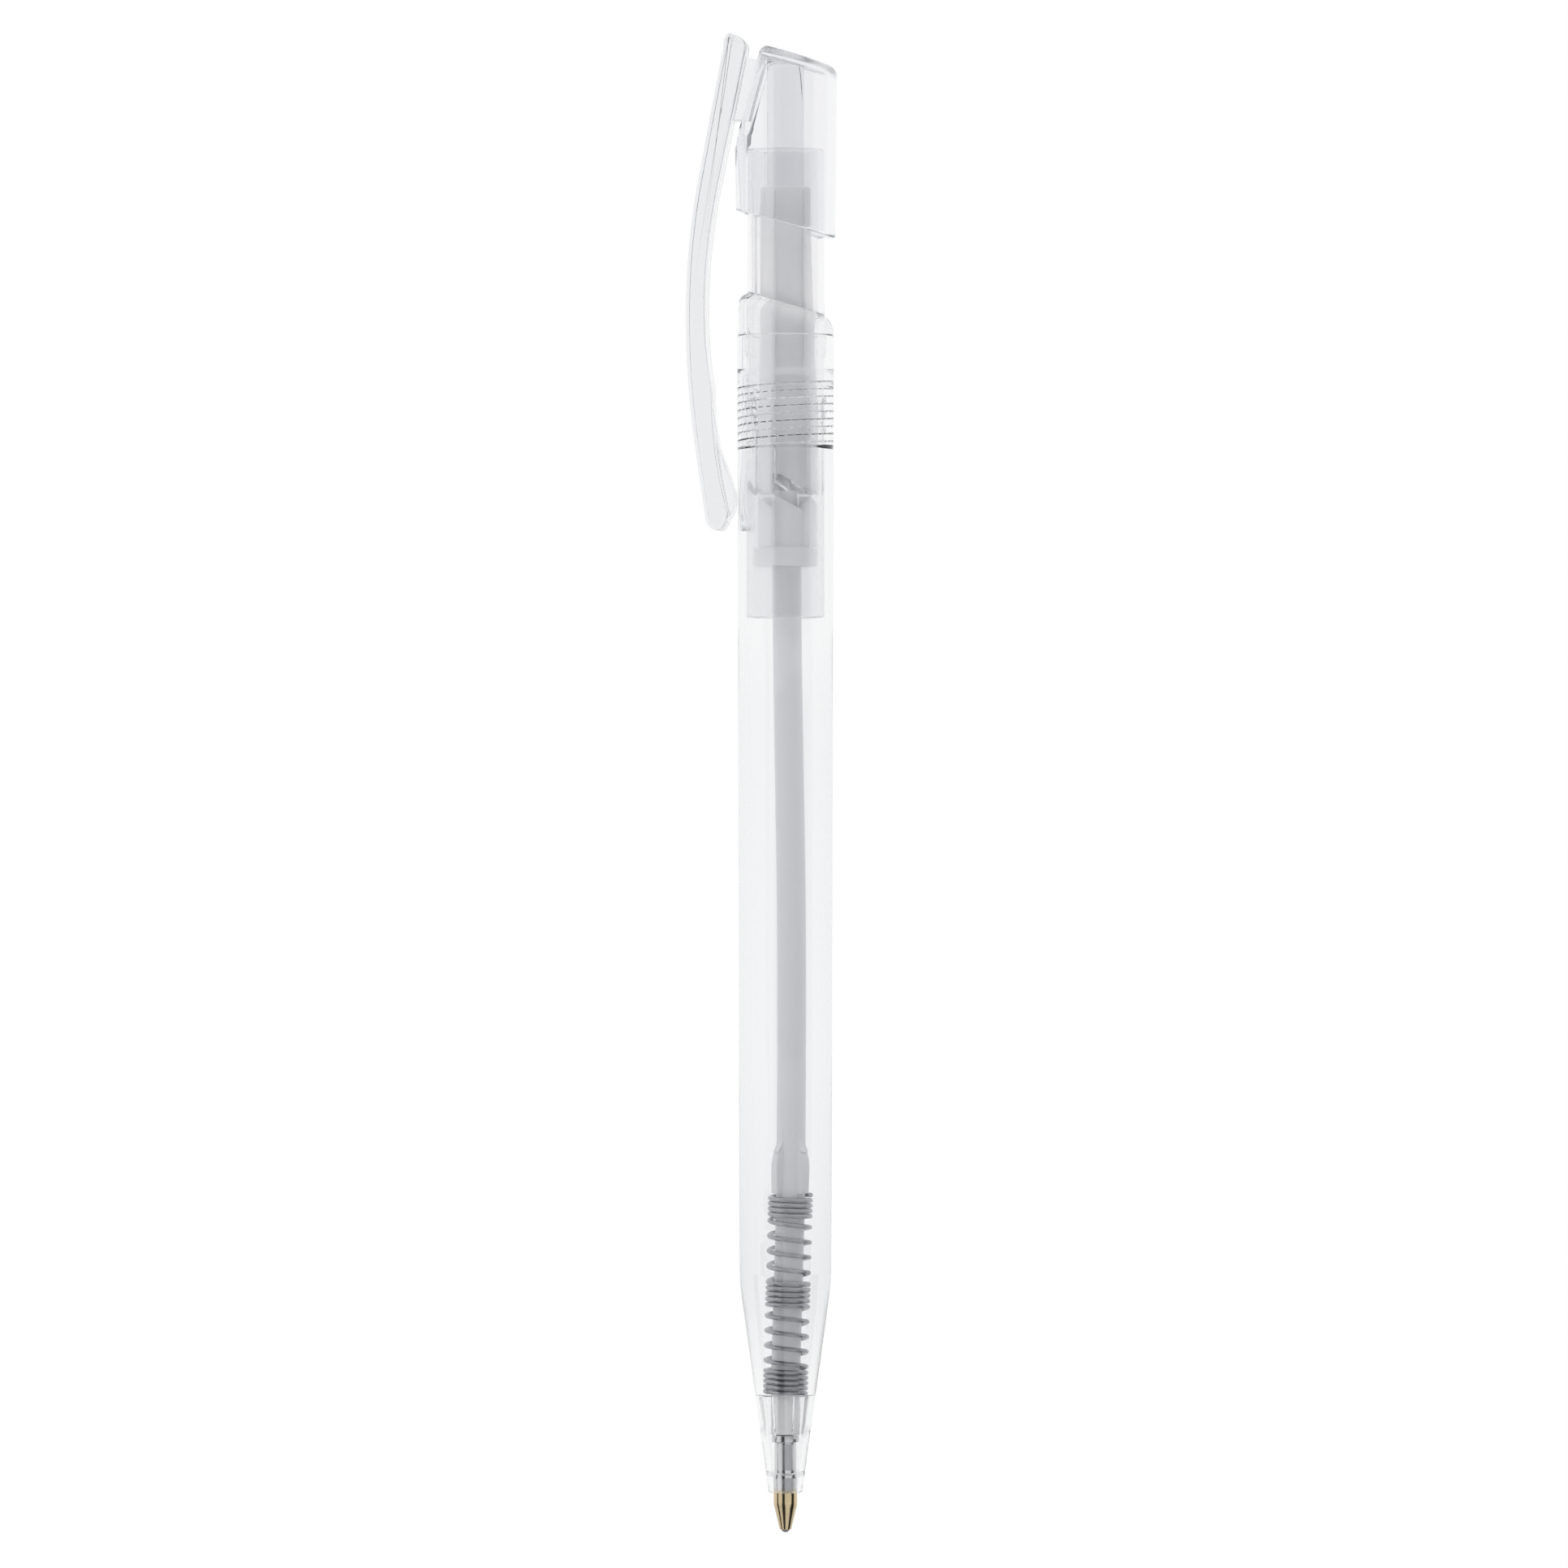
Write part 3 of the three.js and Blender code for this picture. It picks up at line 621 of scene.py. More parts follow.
def make_barrel():
    """Barrel: tapered nose, long drafted body, spring seat and threaded bore. The first
    point of mouth and the last of inside only lead the rounding of their neighbours."""
    bore = 3.83
    seat_rib_foot = 9.4
    mouth = rounded([
        (1.48, 6.05),
        (1.23, 5.5, 0.1),
        (1.23, 3.9, 0.08),
        (1.62, 3.9, 0.18),
        (4.45, 24.4, 1.6),
        (4.68, BARREL_RIM, 0.14),
        (4.04, BARREL_RIM, 0.04),
        (4.04, THREAD_TOP + 0.8, 0.1),
        (bore, THREAD_TOP + 0.06),
    ])[1:]
    inside = rounded([
        (bore, THREAD_FOOT - 0.06),
        (bore, 87.75, 0.8),
        (3.5, 80.0, 3.0),
        (3.42, 45.9, 3.0),
        (2.85, 25.4, 2.0),
        (2.36, SPRING_SEAT, 0.08),
        (1.94, SPRING_SEAT, 0.1),
        *[(1.91 - 0.04 * i, 13.1 - 0.4 * i) for i in range(9)],
        (1.54, 9.5),
        (1.53, 9.0),
        (1.48, 6.05, 0.1),
        (1.23, 5.5),
    ])[:-1]
    shape = turned(mouth + thread_rows(bore)[::-1] + inside)
    for vert in shape.verts:
        radius, angle, height = place_of(vert)
        if abs(radius - bore) < 0.001 and THREAD_FOOT <= height <= THREAD_TOP:
            move_to(vert, radius + THREAD_DEPTH * thread_ridge(angle, height), height)
        above = height - seat_rib_foot
        if 1.5 < radius < 2.0 and 0 < above and height < SPRING_SEAT + 0.05:
            hollow = 1.72 + 0.14 * above - radius
            gap = 1 - within(angle, 45, 38, 8)
            move_to(vert, radius + gap * hollow * smoothly(above / 0.8), height)
    return finished(shape, "barrel_body", barrel_styrene())


def make_sleeve():
    """Upper sleeve: threaded outside, stop ribs inside, oblique shoulder and neck."""
    foot = rounded([
        (SLEEVE_BORE, SLEEVE_FOOT),
        (SLEEVE_RADIUS, SLEEVE_FOOT, 0.15),
        (SLEEVE_RADIUS, THREAD_FOOT - 0.06),
    ])[1:]
    shoulder = rounded([
        (SLEEVE_RADIUS, THREAD_TOP + 0.06),
        (SLEEVE_RADIUS, 113.9),
        (3.98, 114.5),
        (3.98, 116.1),
        (4.66, 116.1, 0.06),
        (4.66, 118.5, 0.75),
        (SLEEVE_RADIUS, 119.15, 0.05),
        *[(SLEEVE_RADIUS, NECK_FOOT + 0.5 * i) for i in range(14)],
        (SLEEVE_RADIUS, SLEEVE_TOP, 0.15),
        (SLEEVE_BORE, SLEEVE_TOP, 0.1),
        (SLEEVE_BORE, STOP_TOP + STOP_TAPER + 0.1),
    ])
    bore = [
        (SLEEVE_BORE, STOP_TOP + STOP_TAPER),
        (STOP_RADIUS, STOP_TOP),
        (STOP_RADIUS, STOP_TIP + 0.3),
        (SLEEVE_BORE, STOP_TIP),
        (SLEEVE_BORE, SLEEVE_FOOT),
    ]
    shape = turned(foot + thread_rows(SLEEVE_RADIUS) + shoulder + bore)
    flange = BARREL_RIM + 0.15
    for vert in shape.verts:
        radius, angle, height = place_of(vert)
        new_radius = radius
        outside = radius > SLEEVE_RADIUS - 0.08
        if outside and THREAD_FOOT <= height <= THREAD_TOP:
            new_radius += THREAD_DEPTH * thread_ridge(angle, height)
        in_stops = STOP_TIP - 0.01 < height < STOP_TOP + STOP_TAPER + 0.01
        if radius < SLEEVE_BORE + 0.05 and in_stops:
            past = (angle - GROOVE_PHASE - (STOP_PITCH - STOP_SWEEP) / 2) % STOP_PITCH
            middle = GROOVE_PHASE + STOP_PITCH / 2
            depth = SLEEVE_BORE - radius
            new_radius = SLEEVE_BORE - depth * within(angle, middle, STOP_SWEEP, 12)
            if height < STOP_TIP + 0.31 and past <= STOP_SWEEP:
                height += RAMP_HEIGHT * (1 - 2 * past / STOP_SWEEP % 1)
        if outside and flange < height < 126:
            lean = smoothly((height - flange) / 1.2)
            lean *= 1 - smoothly((height - NECK_FOOT) / 6)
            height -= OBLIQUE * lean * vert.co.x
        if outside and height > flange:
            new_radius -= KEYWAY_DEPTH * smoothly((abs(angle) - KEYWAY_START) / 3)
        move_to(vert, new_radius, height)
    return finished(shape, "upper_sleeve_threaded", sleeve_styrene())


def tooth_edge(angle):
    """Height of the saw teeth's edge at an angle, over their valleys."""
    return TOOTH_HEIGHT * (1 - (angle - TOOTH_PHASE) % STOP_PITCH / STOP_PITCH)


def make_plunger():
    """Plunger: a tube on the cap's post, with ribs and downward saw teeth at its foot."""
    foot = STOP_TIP + TOOTH_HEIGHT
    top = foot + 27.7
    shape = turned(rounded([
        (1.45, foot),
        (2.05, foot),
        (2.05, foot + 4.1, 0.3),
        (2.45, foot + 4.6, 0.3),
        (2.45, top, 0.35),
        (1.84, top, 0.06),
        (1.84, 109.9, 0.1),
        (1.45, 109.5, 0.1),
    ]))
    for vert in shape.verts:
        radius, angle, height = place_of(vert)
        rib = within(angle, GROOVE_PHASE, RIB_SWEEP)
        if radius > 2 and height < foot + 6.5:
            radius += rib * (RIB_RADIUS - radius)
        if height < foot + 0.01:
            height = STOP_TIP + tooth_edge(angle)
        move_to(vert, radius, height)
    return finished(shape, "plunger_toothed", milky_acetal())


def make_rotor():
    """Cam rotor: round foot on the refill, four ribs, a crown of saw teeth and a guide pin."""
    peak = STOP_TIP - 0.05
    valley = peak - TOOTH_HEIGHT
    foot = peak - 6.8
    shape = turned(rounded([
        (0, foot + 3.25),
        (1.49, foot + 3.25, 0.05),
        (1.49, foot, 0.05),
        (RIB_RADIUS, foot, 0.12),
        (RIB_RADIUS, foot + 1.75, 0.12),
        (2.48, foot + 1.9, 0.1),
        (2.48, valley - 0.1),
        (2.48, valley),
        (1.36, valley),
        (1.36, foot + 4.35),
        (1.2, foot + 4.35),
        (1.2, peak + 4.35, 0.4),
        (0, peak + 4.35),
    ]), closed=False)
    for vert in shape.verts:
        radius, angle, height = place_of(vert)
        if radius < 1.3 or height < foot + 1.85:
            continue
        rib = within(angle, GROOVE_PHASE, RIB_SWEEP)
        if height > valley - 0.01:
            height += tooth_edge(angle)
            if radius > 2:
                lead = (angle - GROOVE_PHASE + RIB_SWEEP / 2) % STOP_PITCH / RIB_SWEEP
                height += rib * (peak - RAMP_HEIGHT * lead - height)
        if radius > 2:
            radius += rib * (RIB_RADIUS - radius)
        move_to(vert, radius, height)
    return finished(shape, "cam_rotor_crowned", milky_acetal())


# The cap's skirt, and the slanted plane on its clip side: its slope, and how far from
# the axis it meets the press face

CAP_SKIRT = 126.85
BEVEL_TAN = math.tan(math.radians(16.5))
BEVEL_TOP_REACH = 1.85

# The clip: the upper end of its bow, its width and that of its web, and how its upper
# part leans

CLIP_UPPER = (-8.31, 131.3)
CLIP_WIDTH = 4.4
WEB_WIDTH = 2.4
CLIP_LEAN = 0.191


def cut_flat(shape, wall, edge, cuts):
    """Cuts a cap surface along the slanted plane, wall millimetres in from it, and
    rounds its edge to the press face in a number of cuts."""
    flat = Vector((-1, 0, BEVEL_TAN)).normalized()
    roof = Vector((OBLIQUE, 0, 1)).normalized()
    corner = Vector((wall - BEVEL_TOP_REACH, 0, CAP_TOP + OBLIQUE * BEVEL_TOP_REACH))
    for i in range(cuts):
        normal = flat.slerp(roof, i / cuts)
        rim = bmesh.ops.bisect_plane(
            shape,
            geom=shape.verts[:] + shape.edges[:] + shape.faces[:],
            dist=1e-4,
            plane_co=corner + (normal - flat - roof) * edge,
            plane_no=normal,
            clear_outer=True,
        )["geom_cut"]
        rim = [item for item in rim if isinstance(item, bmesh.types.BMEdge)]
        bmesh.ops.holes_fill(shape, edges=rim)


def slant(shape, low):
    """Slants every vertex above a height as the cap's top is slanted."""
    for vert in shape.verts:
        if vert.co.z > low:
            vert.co.z -= OBLIQUE * vert.co.x


def make_cap_shell():
    """Cap: oblique press face, skirt, slanted side and the post for the plunger."""
    flank = [(4.84 + 0.16 * i / 8, 127.3 + 14.9 * i / 8) for i in range(9)]
    roof = [(4.1 - 0.41 * i, CAP_TOP) for i in range(1, 10)]
    outer = rounded([(4.3, CAP_SKIRT), (4.83, CAP_SKIRT, 0.3), (4.83, 127.3)])
    outer += flank + rounded([(5.0, 142.25), (5.0, CAP_TOP, 0.9), (4.1, CAP_TOP)], 12)[1:-1]
    outer += roof + [(0, CAP_TOP)]
    shell = turned(outer, closed=False)
    slant(shell, CAP_SKIRT - 1)
    cut_flat(shell, 0.0, 0.8, 6)
    hollow_top = CAP_TOP - 0.66
    wall = [(3.95 + 0.2 * i / 8, 127.3 + 14.4 * i / 8) for i in range(9)]
    inner = rounded([(4.3, CAP_SKIRT), (3.95, CAP_SKIRT, 0.12), (3.95, 127.3)])
    inner += wall + rounded([(4.15, 141.9), (4.15, hollow_top, 0.6), (3.4, hollow_top)], 8)[1:]
    inner += [(3.0, hollow_top), (2.4, hollow_top), (1.95, hollow_top)]
    post = rounded([(1.8, hollow_top - 0.25), (1.8, 110.0, 0.2), (0, 110.0)])
    hollow = turned(inner + post, closed=False)
    slant(hollow, CAP_SKIRT - 1)
    cut_flat(hollow, 0.36, 0.0, 1)
    mesh = bpy.data.meshes.new("hollow")
    hollow.to_mesh(mesh)
    hollow.free()
    shell.from_mesh(mesh)
    bpy.data.meshes.remove(mesh)
    return finished(shell, "push_cap_moulding", cap_styrene())


def clip_points():
    """The clip's side view as (x, height) points, bowed away from the barrel."""
    head = Vector((-5.75, 144.7))
    upper = Vector(CLIP_UPPER)
    bow = Vector((-10.64, 119.1))
    lower = Vector((-8.54, 104.6))
    end = Vector((-7.7, 98.9))
    foot = Vector((-6.5, 97.2))
    nose = Vector((-5.45, 98.9))
    back = Vector((-7.02, 111.0))
    thick = Vector((2.05, 0))

    def curve(a, b, c, count):
        return [
            a.lerp(b, i / count).lerp(b.lerp(c, i / count), i / count)
            for i in range(count + 1)
        ]

    points = curve(
        head + Vector((0.5, 0.6)),
        head + Vector((0.0, 0.65)),
        head - Vector((0.1, 0.5)),
        6,
    )
    points += curve(upper, bow, lower, 24)
    points += curve(end, Vector((-7.55, 97.2)), foot, 8)
    points += curve(foot, Vector((-5.6, 97.2)), nose, 8)
    points += curve(nose, Vector((-6.95, 104.5)), back, 16)
    points += curve(back, bow + thick + Vector((0, 1)), upper + thick, 24)
    points += curve(
        head + thick + Vector((0, -0.9)),
        head + thick + Vector((0.05, 0.05)),
        head + thick + Vector((-0.75, 0.3)),
        6,
    )
    return points


def bar(points, width, edge):
    """A bmesh bar across the pen, of a side view, a width and a rounded edge."""
    shape = bmesh.new()
    verts = [shape.verts.new((x, -width / 2, height)) for x, height in points]
    bmesh.ops.remove_doubles(shape, verts=verts, dist=1e-3)
    side = shape.faces.new(list(shape.verts))
    drawn = bmesh.ops.extrude_face_region(shape, geom=[side])
    moved = [item for item in drawn["geom"] if isinstance(item, bmesh.types.BMVert)]
    bmesh.ops.translate(shape, verts=moved, vec=(0, width, 0))
    rims = [
        rim for rim in shape.edges
        if abs(rim.verts[0].co.y - rim.verts[1].co.y) < 1e-4
    ]
    bmesh.ops.bevel(
        shape,
        geom=rims,
        offset=edge,
        affect="EDGES",
        segments=3,
        profile=0.5,
        material=-1,
    )
    return shape


def make_clip():
    """Pocket clip: a bowed bar with rounded edges."""
    return finished(bar(clip_points(), CLIP_WIDTH, 0.4), "clip_bar", cap_styrene())


def make_wedge():
    """The narrower wedge at the clip's foot, which bears on the barrel."""
    outline = rounded([
        (-7.7, 109.6),
        (-7.05, 109.6),
        (-6.39, 105.35),
        (-4.7, 100.7, 0.9),
        (-4.95, 98.6, 0.9),
        (-6.4, 97.5),
        (-7.2, 98.6),
    ], 8)
    return finished(bar(outline, WEB_WIDTH, 0.15), "wedge_bar", cap_styrene())


def make_web():
    """The narrow web that joins the clip to the cap's slanted side."""
    clip_x, clip_height = CLIP_UPPER
    shape = bmesh.new()
    bmesh.ops.create_cube(shape, size=1.0)
    for vert in shape.verts:
        top = vert.co.z > 0
        inward = vert.co.x > 0
        height = 142.7 if top else 137.0
        inside_clip = clip_x + 1.0 + CLIP_LEAN * (height - clip_height)
        drop = CAP_TOP + OBLIQUE * BEVEL_TOP_REACH - height
        inside_wall = 0.18 - BEVEL_TOP_REACH - BEVEL_TAN * drop
        if top and not inward:
            height += 0.6
        vert.co.x = inside_wall if inward else inside_clip
        vert.co.y *= WEB_WIDTH
        vert.co.z = height
    return finished(shape, "web_bar", cap_styrene())


def make_cap():
    """Push cap, web and clip as one moulding."""
    return united(make_cap_shell(), [make_clip(), make_wedge(), make_web()])


def bow_at(height):
    """How far the refill stands off the axis at a height: it leaves it above the nose,
    stands furthest off at its wings and comes back towards the rotor."""
    rise = 0.93 * smoothly((height - 11) / 27) + 0.07 * smoothly((height - 38) / 8)
    fall = 0.7885 * smoothly((height - 55) / 40)
    return bpy.context.scene.pen_sizes.refill_bow * (rise - fall)


def bow_out(shape):
    """Moves every vertex out with the refill's bow."""
    for vert in shape.verts:
        vert.co.x += bow_at(vert.co.z)


def add_wing(shape, angle):
    """Adds one wing with a hollow flare to the refill tube, at an angle in degrees."""
    outline = rounded([
        (1.2, WING_FOOT),
        (2.0, WING_FOOT, 0.12),
        (2.06, 35.0),
        (2.04, 36.8, 1.2),
        (1.4, 37.6, 0.8),
        (1.38, 39.2),
        (1.2, 39.2),
    ], 8)
    thickness = 0.8
    verts = [shape.verts.new((x, -thickness / 2, height)) for x, height in outline]
    side = shape.faces.new(verts)
    drawn = bmesh.ops.extrude_face_region(shape, geom=[side])["geom"]
    moved = [item for item in drawn if isinstance(item, bmesh.types.BMVert)]
    bmesh.ops.translate(shape, verts=moved, vec=(0, thickness, 0))
    turn = Matrix.Rotation(math.radians(angle), 3, "Z")
    bmesh.ops.rotate(shape, verts=verts + moved, cent=(0, 0, 0), matrix=turn)


def make_refill():
    """Refill tube with the four wings where the spring bears."""
    foot, top = 9.6, 96.6
    heights = [10 + 86.2 * i / 40 for i in range(1, 40)]
    rows = [(REFILL_RADIUS, height) for height in heights]
    bore = [(REFILL_BORE, height) for height in reversed(heights)]
    outline = rounded([(REFILL_BORE, foot), (REFILL_RADIUS, foot, 0.08), *rows])
    outline += [(REFILL_RADIUS, top), (REFILL_BORE, top)] + bore
    tube = turned(outline, steps=SLIM_STEPS)
    for i in range(4):
        add_wing(tube, 45 + 90 * i)
    bow_out(tube)
    return finished(tube, "refill_tube_bowed", milky_tube())


def make_plug(name, foot, top, material):
    """A plug of ink or grease that fills a stretch of the bowed refill's bore."""
    radius = REFILL_BORE - 0.05
    rows = [(radius, foot + (top - foot) * i / 24) for i in range(25)]
    plug = turned([(0, foot), *rows, (0, top)], steps=SLIM_STEPS, closed=False)
    bow_out(plug)
    return finished(plug, name, material)


def make_tip():
    """Writing point: stem, collar, shank, cone and rolled lip round the ball."""
    outline = rounded([
        (0.55, 0.3, 0.03),
        (1.15, 2.75, 0.25),
        (1.15, 5.65, 0.1),
        (1.05, 5.75, 0.05),
        (1.05, 8.85, 0.06),
        (1.32, 8.9, 0.08),
        (1.32, 9.5, 0.06),
        (0.95, 9.5, 0.05),
        (0.95, 14.5, 0.1),
        (0.3, 14.5),
        (0.3, 0.83),
        (0.49, 0.45),
        (0.47, 0.3),
    ])
    return finished(turned(outline, steps=64), "writing_point", tip_brass())


def make_spring():
    """Return spring: stretches of closer and opener curls wound in one wire."""
    wire = 0.225
    coil = 1.98
    foot = SPRING_SEAT + wire
    top = WING_FOOT - wire
    curls = bpy.context.scene.pen_sizes.spring_curls
    open_curls = 8.3
    close_curls = curls - open_curls
    close_pitch = 0.51
    open_pitch = (top - foot - close_curls * close_pitch) / open_curls
    stretches = [
        (close_curls * 0.36, close_pitch),
        (open_curls / 2, open_pitch),
        (close_curls * 0.32, close_pitch),
        (open_curls / 2, open_pitch),
        (close_curls * 0.32, close_pitch),
    ]
    shape = bmesh.new()
    section = bmesh.ops.create_circle(shape, cap_ends=False, segments=10, radius=wire)["verts"]
    bmesh.ops.rotate(shape, verts=section, matrix=Matrix.Rotation(math.pi / 2, 3, "X"))
    bmesh.ops.translate(shape, verts=section, vec=(coil, 0, foot))
    ring = list(shape.verts) + list(shape.edges)
    per_curl = 32
    for count, pitch in stretches:
        steps = round(count * per_curl)
        spun = bmesh.ops.spin(
            shape,
            geom=ring,
            cent=(0, 0, 0),
            axis=(0, 0, -1),
            dvec=(0, 0, count * pitch / steps),
            angle=math.tau * count,
            steps=steps,
        )
        ring = spun["geom_last"]
    bmesh.ops.holes_fill(shape, edges=[edge for edge in shape.edges if edge.is_boundary])
    bow_out(shape)
    return finished(shape, "return_spring_wire", spring_steel())


class PenPiece:
    """What the operators that build the pen's pieces share."""

    bl_options = {"REGISTER", "UNDO"}


class PEN_OT_barrel(PenPiece, bpy.types.Operator):
    """Build the clear barrel"""

    bl_idname = "pen.barrel"
    bl_label = "Barrel"

    def execute(self, context):
        barrel = make_barrel()
        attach(barrel, "body")
        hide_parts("barrel")
        return {"FINISHED"}


class PEN_OT_sleeve(PenPiece, bpy.types.Operator):
    """Build the threaded upper sleeve"""

    bl_idname = "pen.sleeve"
    bl_label = "Upper Sleeve"

    def execute(self, context):
        sleeve = make_sleeve()
        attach(sleeve, "body")
        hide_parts("upper_sleeve")
        return {"FINISHED"}


class PEN_OT_cap(PenPiece, bpy.types.Operator):
    """Build the push cap with its pocket clip"""

    bl_idname = "pen.cap"
    bl_label = "Push Cap and Clip"

    def execute(self, context):
        cap = make_cap()
        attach(cap, "button")
        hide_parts("push_cap_clip")
        return {"FINISHED"}


class PEN_OT_click_parts(PenPiece, bpy.types.Operator):
    """Finish the plunger and the cam rotor"""

    bl_idname = "pen.click_parts"
    bl_label = "Click Parts"

    def execute(self, context):
        plunger = make_plunger()
        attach(plunger, "button")
        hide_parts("plunger")
        rotor = make_rotor()
        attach(rotor, "rotor")
        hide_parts("cam_rotor")
        return {"FINISHED"}


class PEN_OT_refill(PenPiece, bpy.types.Operator):
    """Build the refill with its ink and point"""

    bl_idname = "pen.refill"
    bl_label = "Refill and Point"

    def execute(self, context):
        refill = make_refill()
        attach(refill, "refill")
        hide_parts("refill_tube")
        tip = make_tip()
        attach(tip, "refill")
        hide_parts("metal_tip")
        ink = make_plug("ink_filling", INK_FOOT, INK_TOP, ink_paste())
        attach(ink, "refill")
        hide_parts("ink_column")
        grease = make_plug("grease_plug", INK_TOP + 0.1, GREASE_TOP, follower_grease())
        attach(grease, "refill")
        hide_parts("grease_follower")
        dress("writing_ball", hard_metal())
        return {"FINISHED"}


class PEN_OT_spring(PenPiece, bpy.types.Operator):
    """Wind the return spring"""

    bl_idname = "pen.spring"
    bl_label = "Return Spring"

    def execute(self, context):
        spring = make_spring()
        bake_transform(spring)
        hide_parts("return_spring")
        return {"FINISHED"}


# The stage, in metres and watts. Light runs round many times in the clear plastic. The
# dark strips stand close below the pen and draw the dark lines on its metal point.

BOUNCES = 64
DARK_STRIPS = (
    ("front_strip", -13, 0.05),
    ("left_strip", -75, 0.03),
    ("right_strip", 82, 0.06),
)
LAMPS = (
    ("key_lamp", (-0.5, -0.7, 0.6), 0.6, 5.0),
    ("fill_lamp", (0.8, -0.5, 0.2), 0.8, 2.5),
    ("back_lamp", (0.3, 0.9, 0.6), 0.8, 3.0),
)


def soft_lamp(name, place, size, power):
    """A large square lamp that points at the middle of the pen."""
    lamp = bpy.data.lights.new(name, "AREA")
    lamp.shape = "SQUARE"
    lamp.size = size
    lamp.energy = power
    piece = bpy.data.objects.new(name, lamp)
    piece.location = place
    aim = Vector((0, 0, 0.03)) - Vector(place)
    piece.rotation_euler = aim.to_track_quat("-Z", "Y").to_euler()
    bpy.context.scene.collection.objects.link(piece)
    piece.visible_transmission = False
    piece.visible_glossy = False


def background_rays(tree):
    """1 for camera, glossy and transmission rays, which see the white background."""
    path = add_node(tree, "ShaderNodeLightPath")
    seen = add_node(tree, "ShaderNodeMath", operation="MAXIMUM")
    tree.links.new(path.outputs["Is Camera Ray"], seen.inputs[0])
    tree.links.new(path.outputs["Is Glossy Ray"], seen.inputs[1])
    seen_or_through = add_node(tree, "ShaderNodeMath", operation="MAXIMUM")
    tree.links.new(seen.outputs["Value"], seen_or_through.inputs[0])
    tree.links.new(path.outputs["Is Transmission Ray"], seen_or_through.inputs[1])
    return seen_or_through.outputs["Value"]


def make_world():
    """White to the eye, in reflections and through the plastic, and softer as light."""
    world = bpy.data.worlds.new("studio")
    world.use_nodes = True
    tree = world.node_tree
    tree.nodes.clear()
    strength = add_node(
        tree, "ShaderNodeMapRange",
        {"Value": background_rays(tree), "To Min": 0.55, "To Max": 1.0},
    )
    sky = add_node(
        tree, "ShaderNodeBackground",
        {"Color": (1, 1, 1, 1), "Strength": strength.outputs["Result"]},
    )
    add_node(tree, "ShaderNodeOutputWorld", {"Surface": sky.outputs["Background"]})
    bpy.context.scene.world = world


def floor_paper():
    """White studio paper: matt, and fades to the white background away from the pen."""
    material, tree = new_material("white_studio_paper")
    place = add_node(tree, "ShaderNodeTexCoord")
    fibres = add_node(
        tree, "ShaderNodeTexNoise",
        {"Vector": place.outputs["Object"], "Scale": 400.0, "Detail": 3},
    )
    bump = add_node(
        tree, "ShaderNodeBump",
        {"Height": fibres.outputs["Fac"], "Strength": 0.05, "Distance": 0.0002},
    )
    paper = add_node(
        tree, "ShaderNodeBsdfPrincipled",
        {
            "Base Color": (*linear_colour("fafafa"), 1),
            "Roughness": 0.9,
            "Normal": bump.outputs["Normal"],
        },
    )
    glow = add_node(tree, "ShaderNodeEmission", {"Color": (1, 1, 1, 1), "Strength": 1.0})
    reach = add_node(tree, "ShaderNodeVectorMath", operation="LENGTH")
    tree.links.new(place.outputs["Object"], reach.inputs[0])
    away = add_node(
        tree, "ShaderNodeMapRange",
        {"Value": reach.outputs["Value"], "From Min": 0.12, "From Max": 0.45},
        interpolation_type="SMOOTHSTEP",
    )
    shown = add_node(tree, "ShaderNodeMath", operation="MULTIPLY")
    tree.links.new(away.outputs["Result"], shown.inputs[0])
    tree.links.new(background_rays(tree), shown.inputs[1])
    mixed = add_node(tree, "ShaderNodeMixShader", {"Fac": shown.outputs["Value"]})
    tree.links.new(paper.outputs["BSDF"], mixed.inputs[1])
    tree.links.new(glow.outputs["Emission"], mixed.inputs[2])
    add_node(tree, "ShaderNodeOutputMaterial", {"Surface": mixed.outputs["Shader"]})
    return material


def make_floor():
    """A pale round floor below the pen, in metres."""
    shape = bmesh.new()
    bmesh.ops.create_circle(shape, cap_ends=True, segments=96, radius=6.0)
    mesh = bpy.data.meshes.new("studio_floor")
    shape.to_mesh(mesh)
    shape.free()
    mesh.materials.append(floor_paper())
    floor = bpy.data.objects.new("studio_floor", mesh)
    floor.location = (0, 0, -0.095)
    bpy.context.scene.collection.objects.link(floor)


def card_board(name, shade):
    """Matt studio card of an even shade, with a fine grain."""
    material, tree = new_material(name)
    place = add_node(tree, "ShaderNodeTexCoord")
    grain = add_node(
        tree, "ShaderNodeTexNoise",
        {"Vector": place.outputs["Object"], "Scale": 400.0, "Detail": 3},
    )
    shaded(tree, {
        "Base Color": (*linear_colour(shade), 1),
        "Roughness": roughness_between(tree, grain, 0.8, 0.95),
    })
    return material


def make_card(name, shade, azimuth, elevation, distance, width, height):
    """A studio card out of view round the pen, for its reflections, in metres. Its
    angles are in degrees, from the pen's front towards the side away from the clip."""
    shape = bmesh.new()
    bmesh.ops.create_grid(shape, x_segments=1, y_segments=1, size=0.5)
    bmesh.ops.scale(shape, verts=shape.verts, vec=(width, height, 1.0))
    mesh = bpy.data.meshes.new(name)
    shape.to_mesh(mesh)
    shape.free()
    mesh.materials.append(card_board(name, shade))
    card = bpy.data.objects.new(name, mesh)
    turn = math.radians(azimuth)
    rise = math.radians(elevation)
    level = distance * math.cos(rise)
    away = Vector((level * math.sin(turn), -level * math.cos(turn), distance * math.sin(rise)))
    card.location = away
    card.rotation_euler = away.to_track_quat("Z", "Y").to_euler()
    card.visible_camera = False
    bpy.context.scene.collection.objects.link(card)


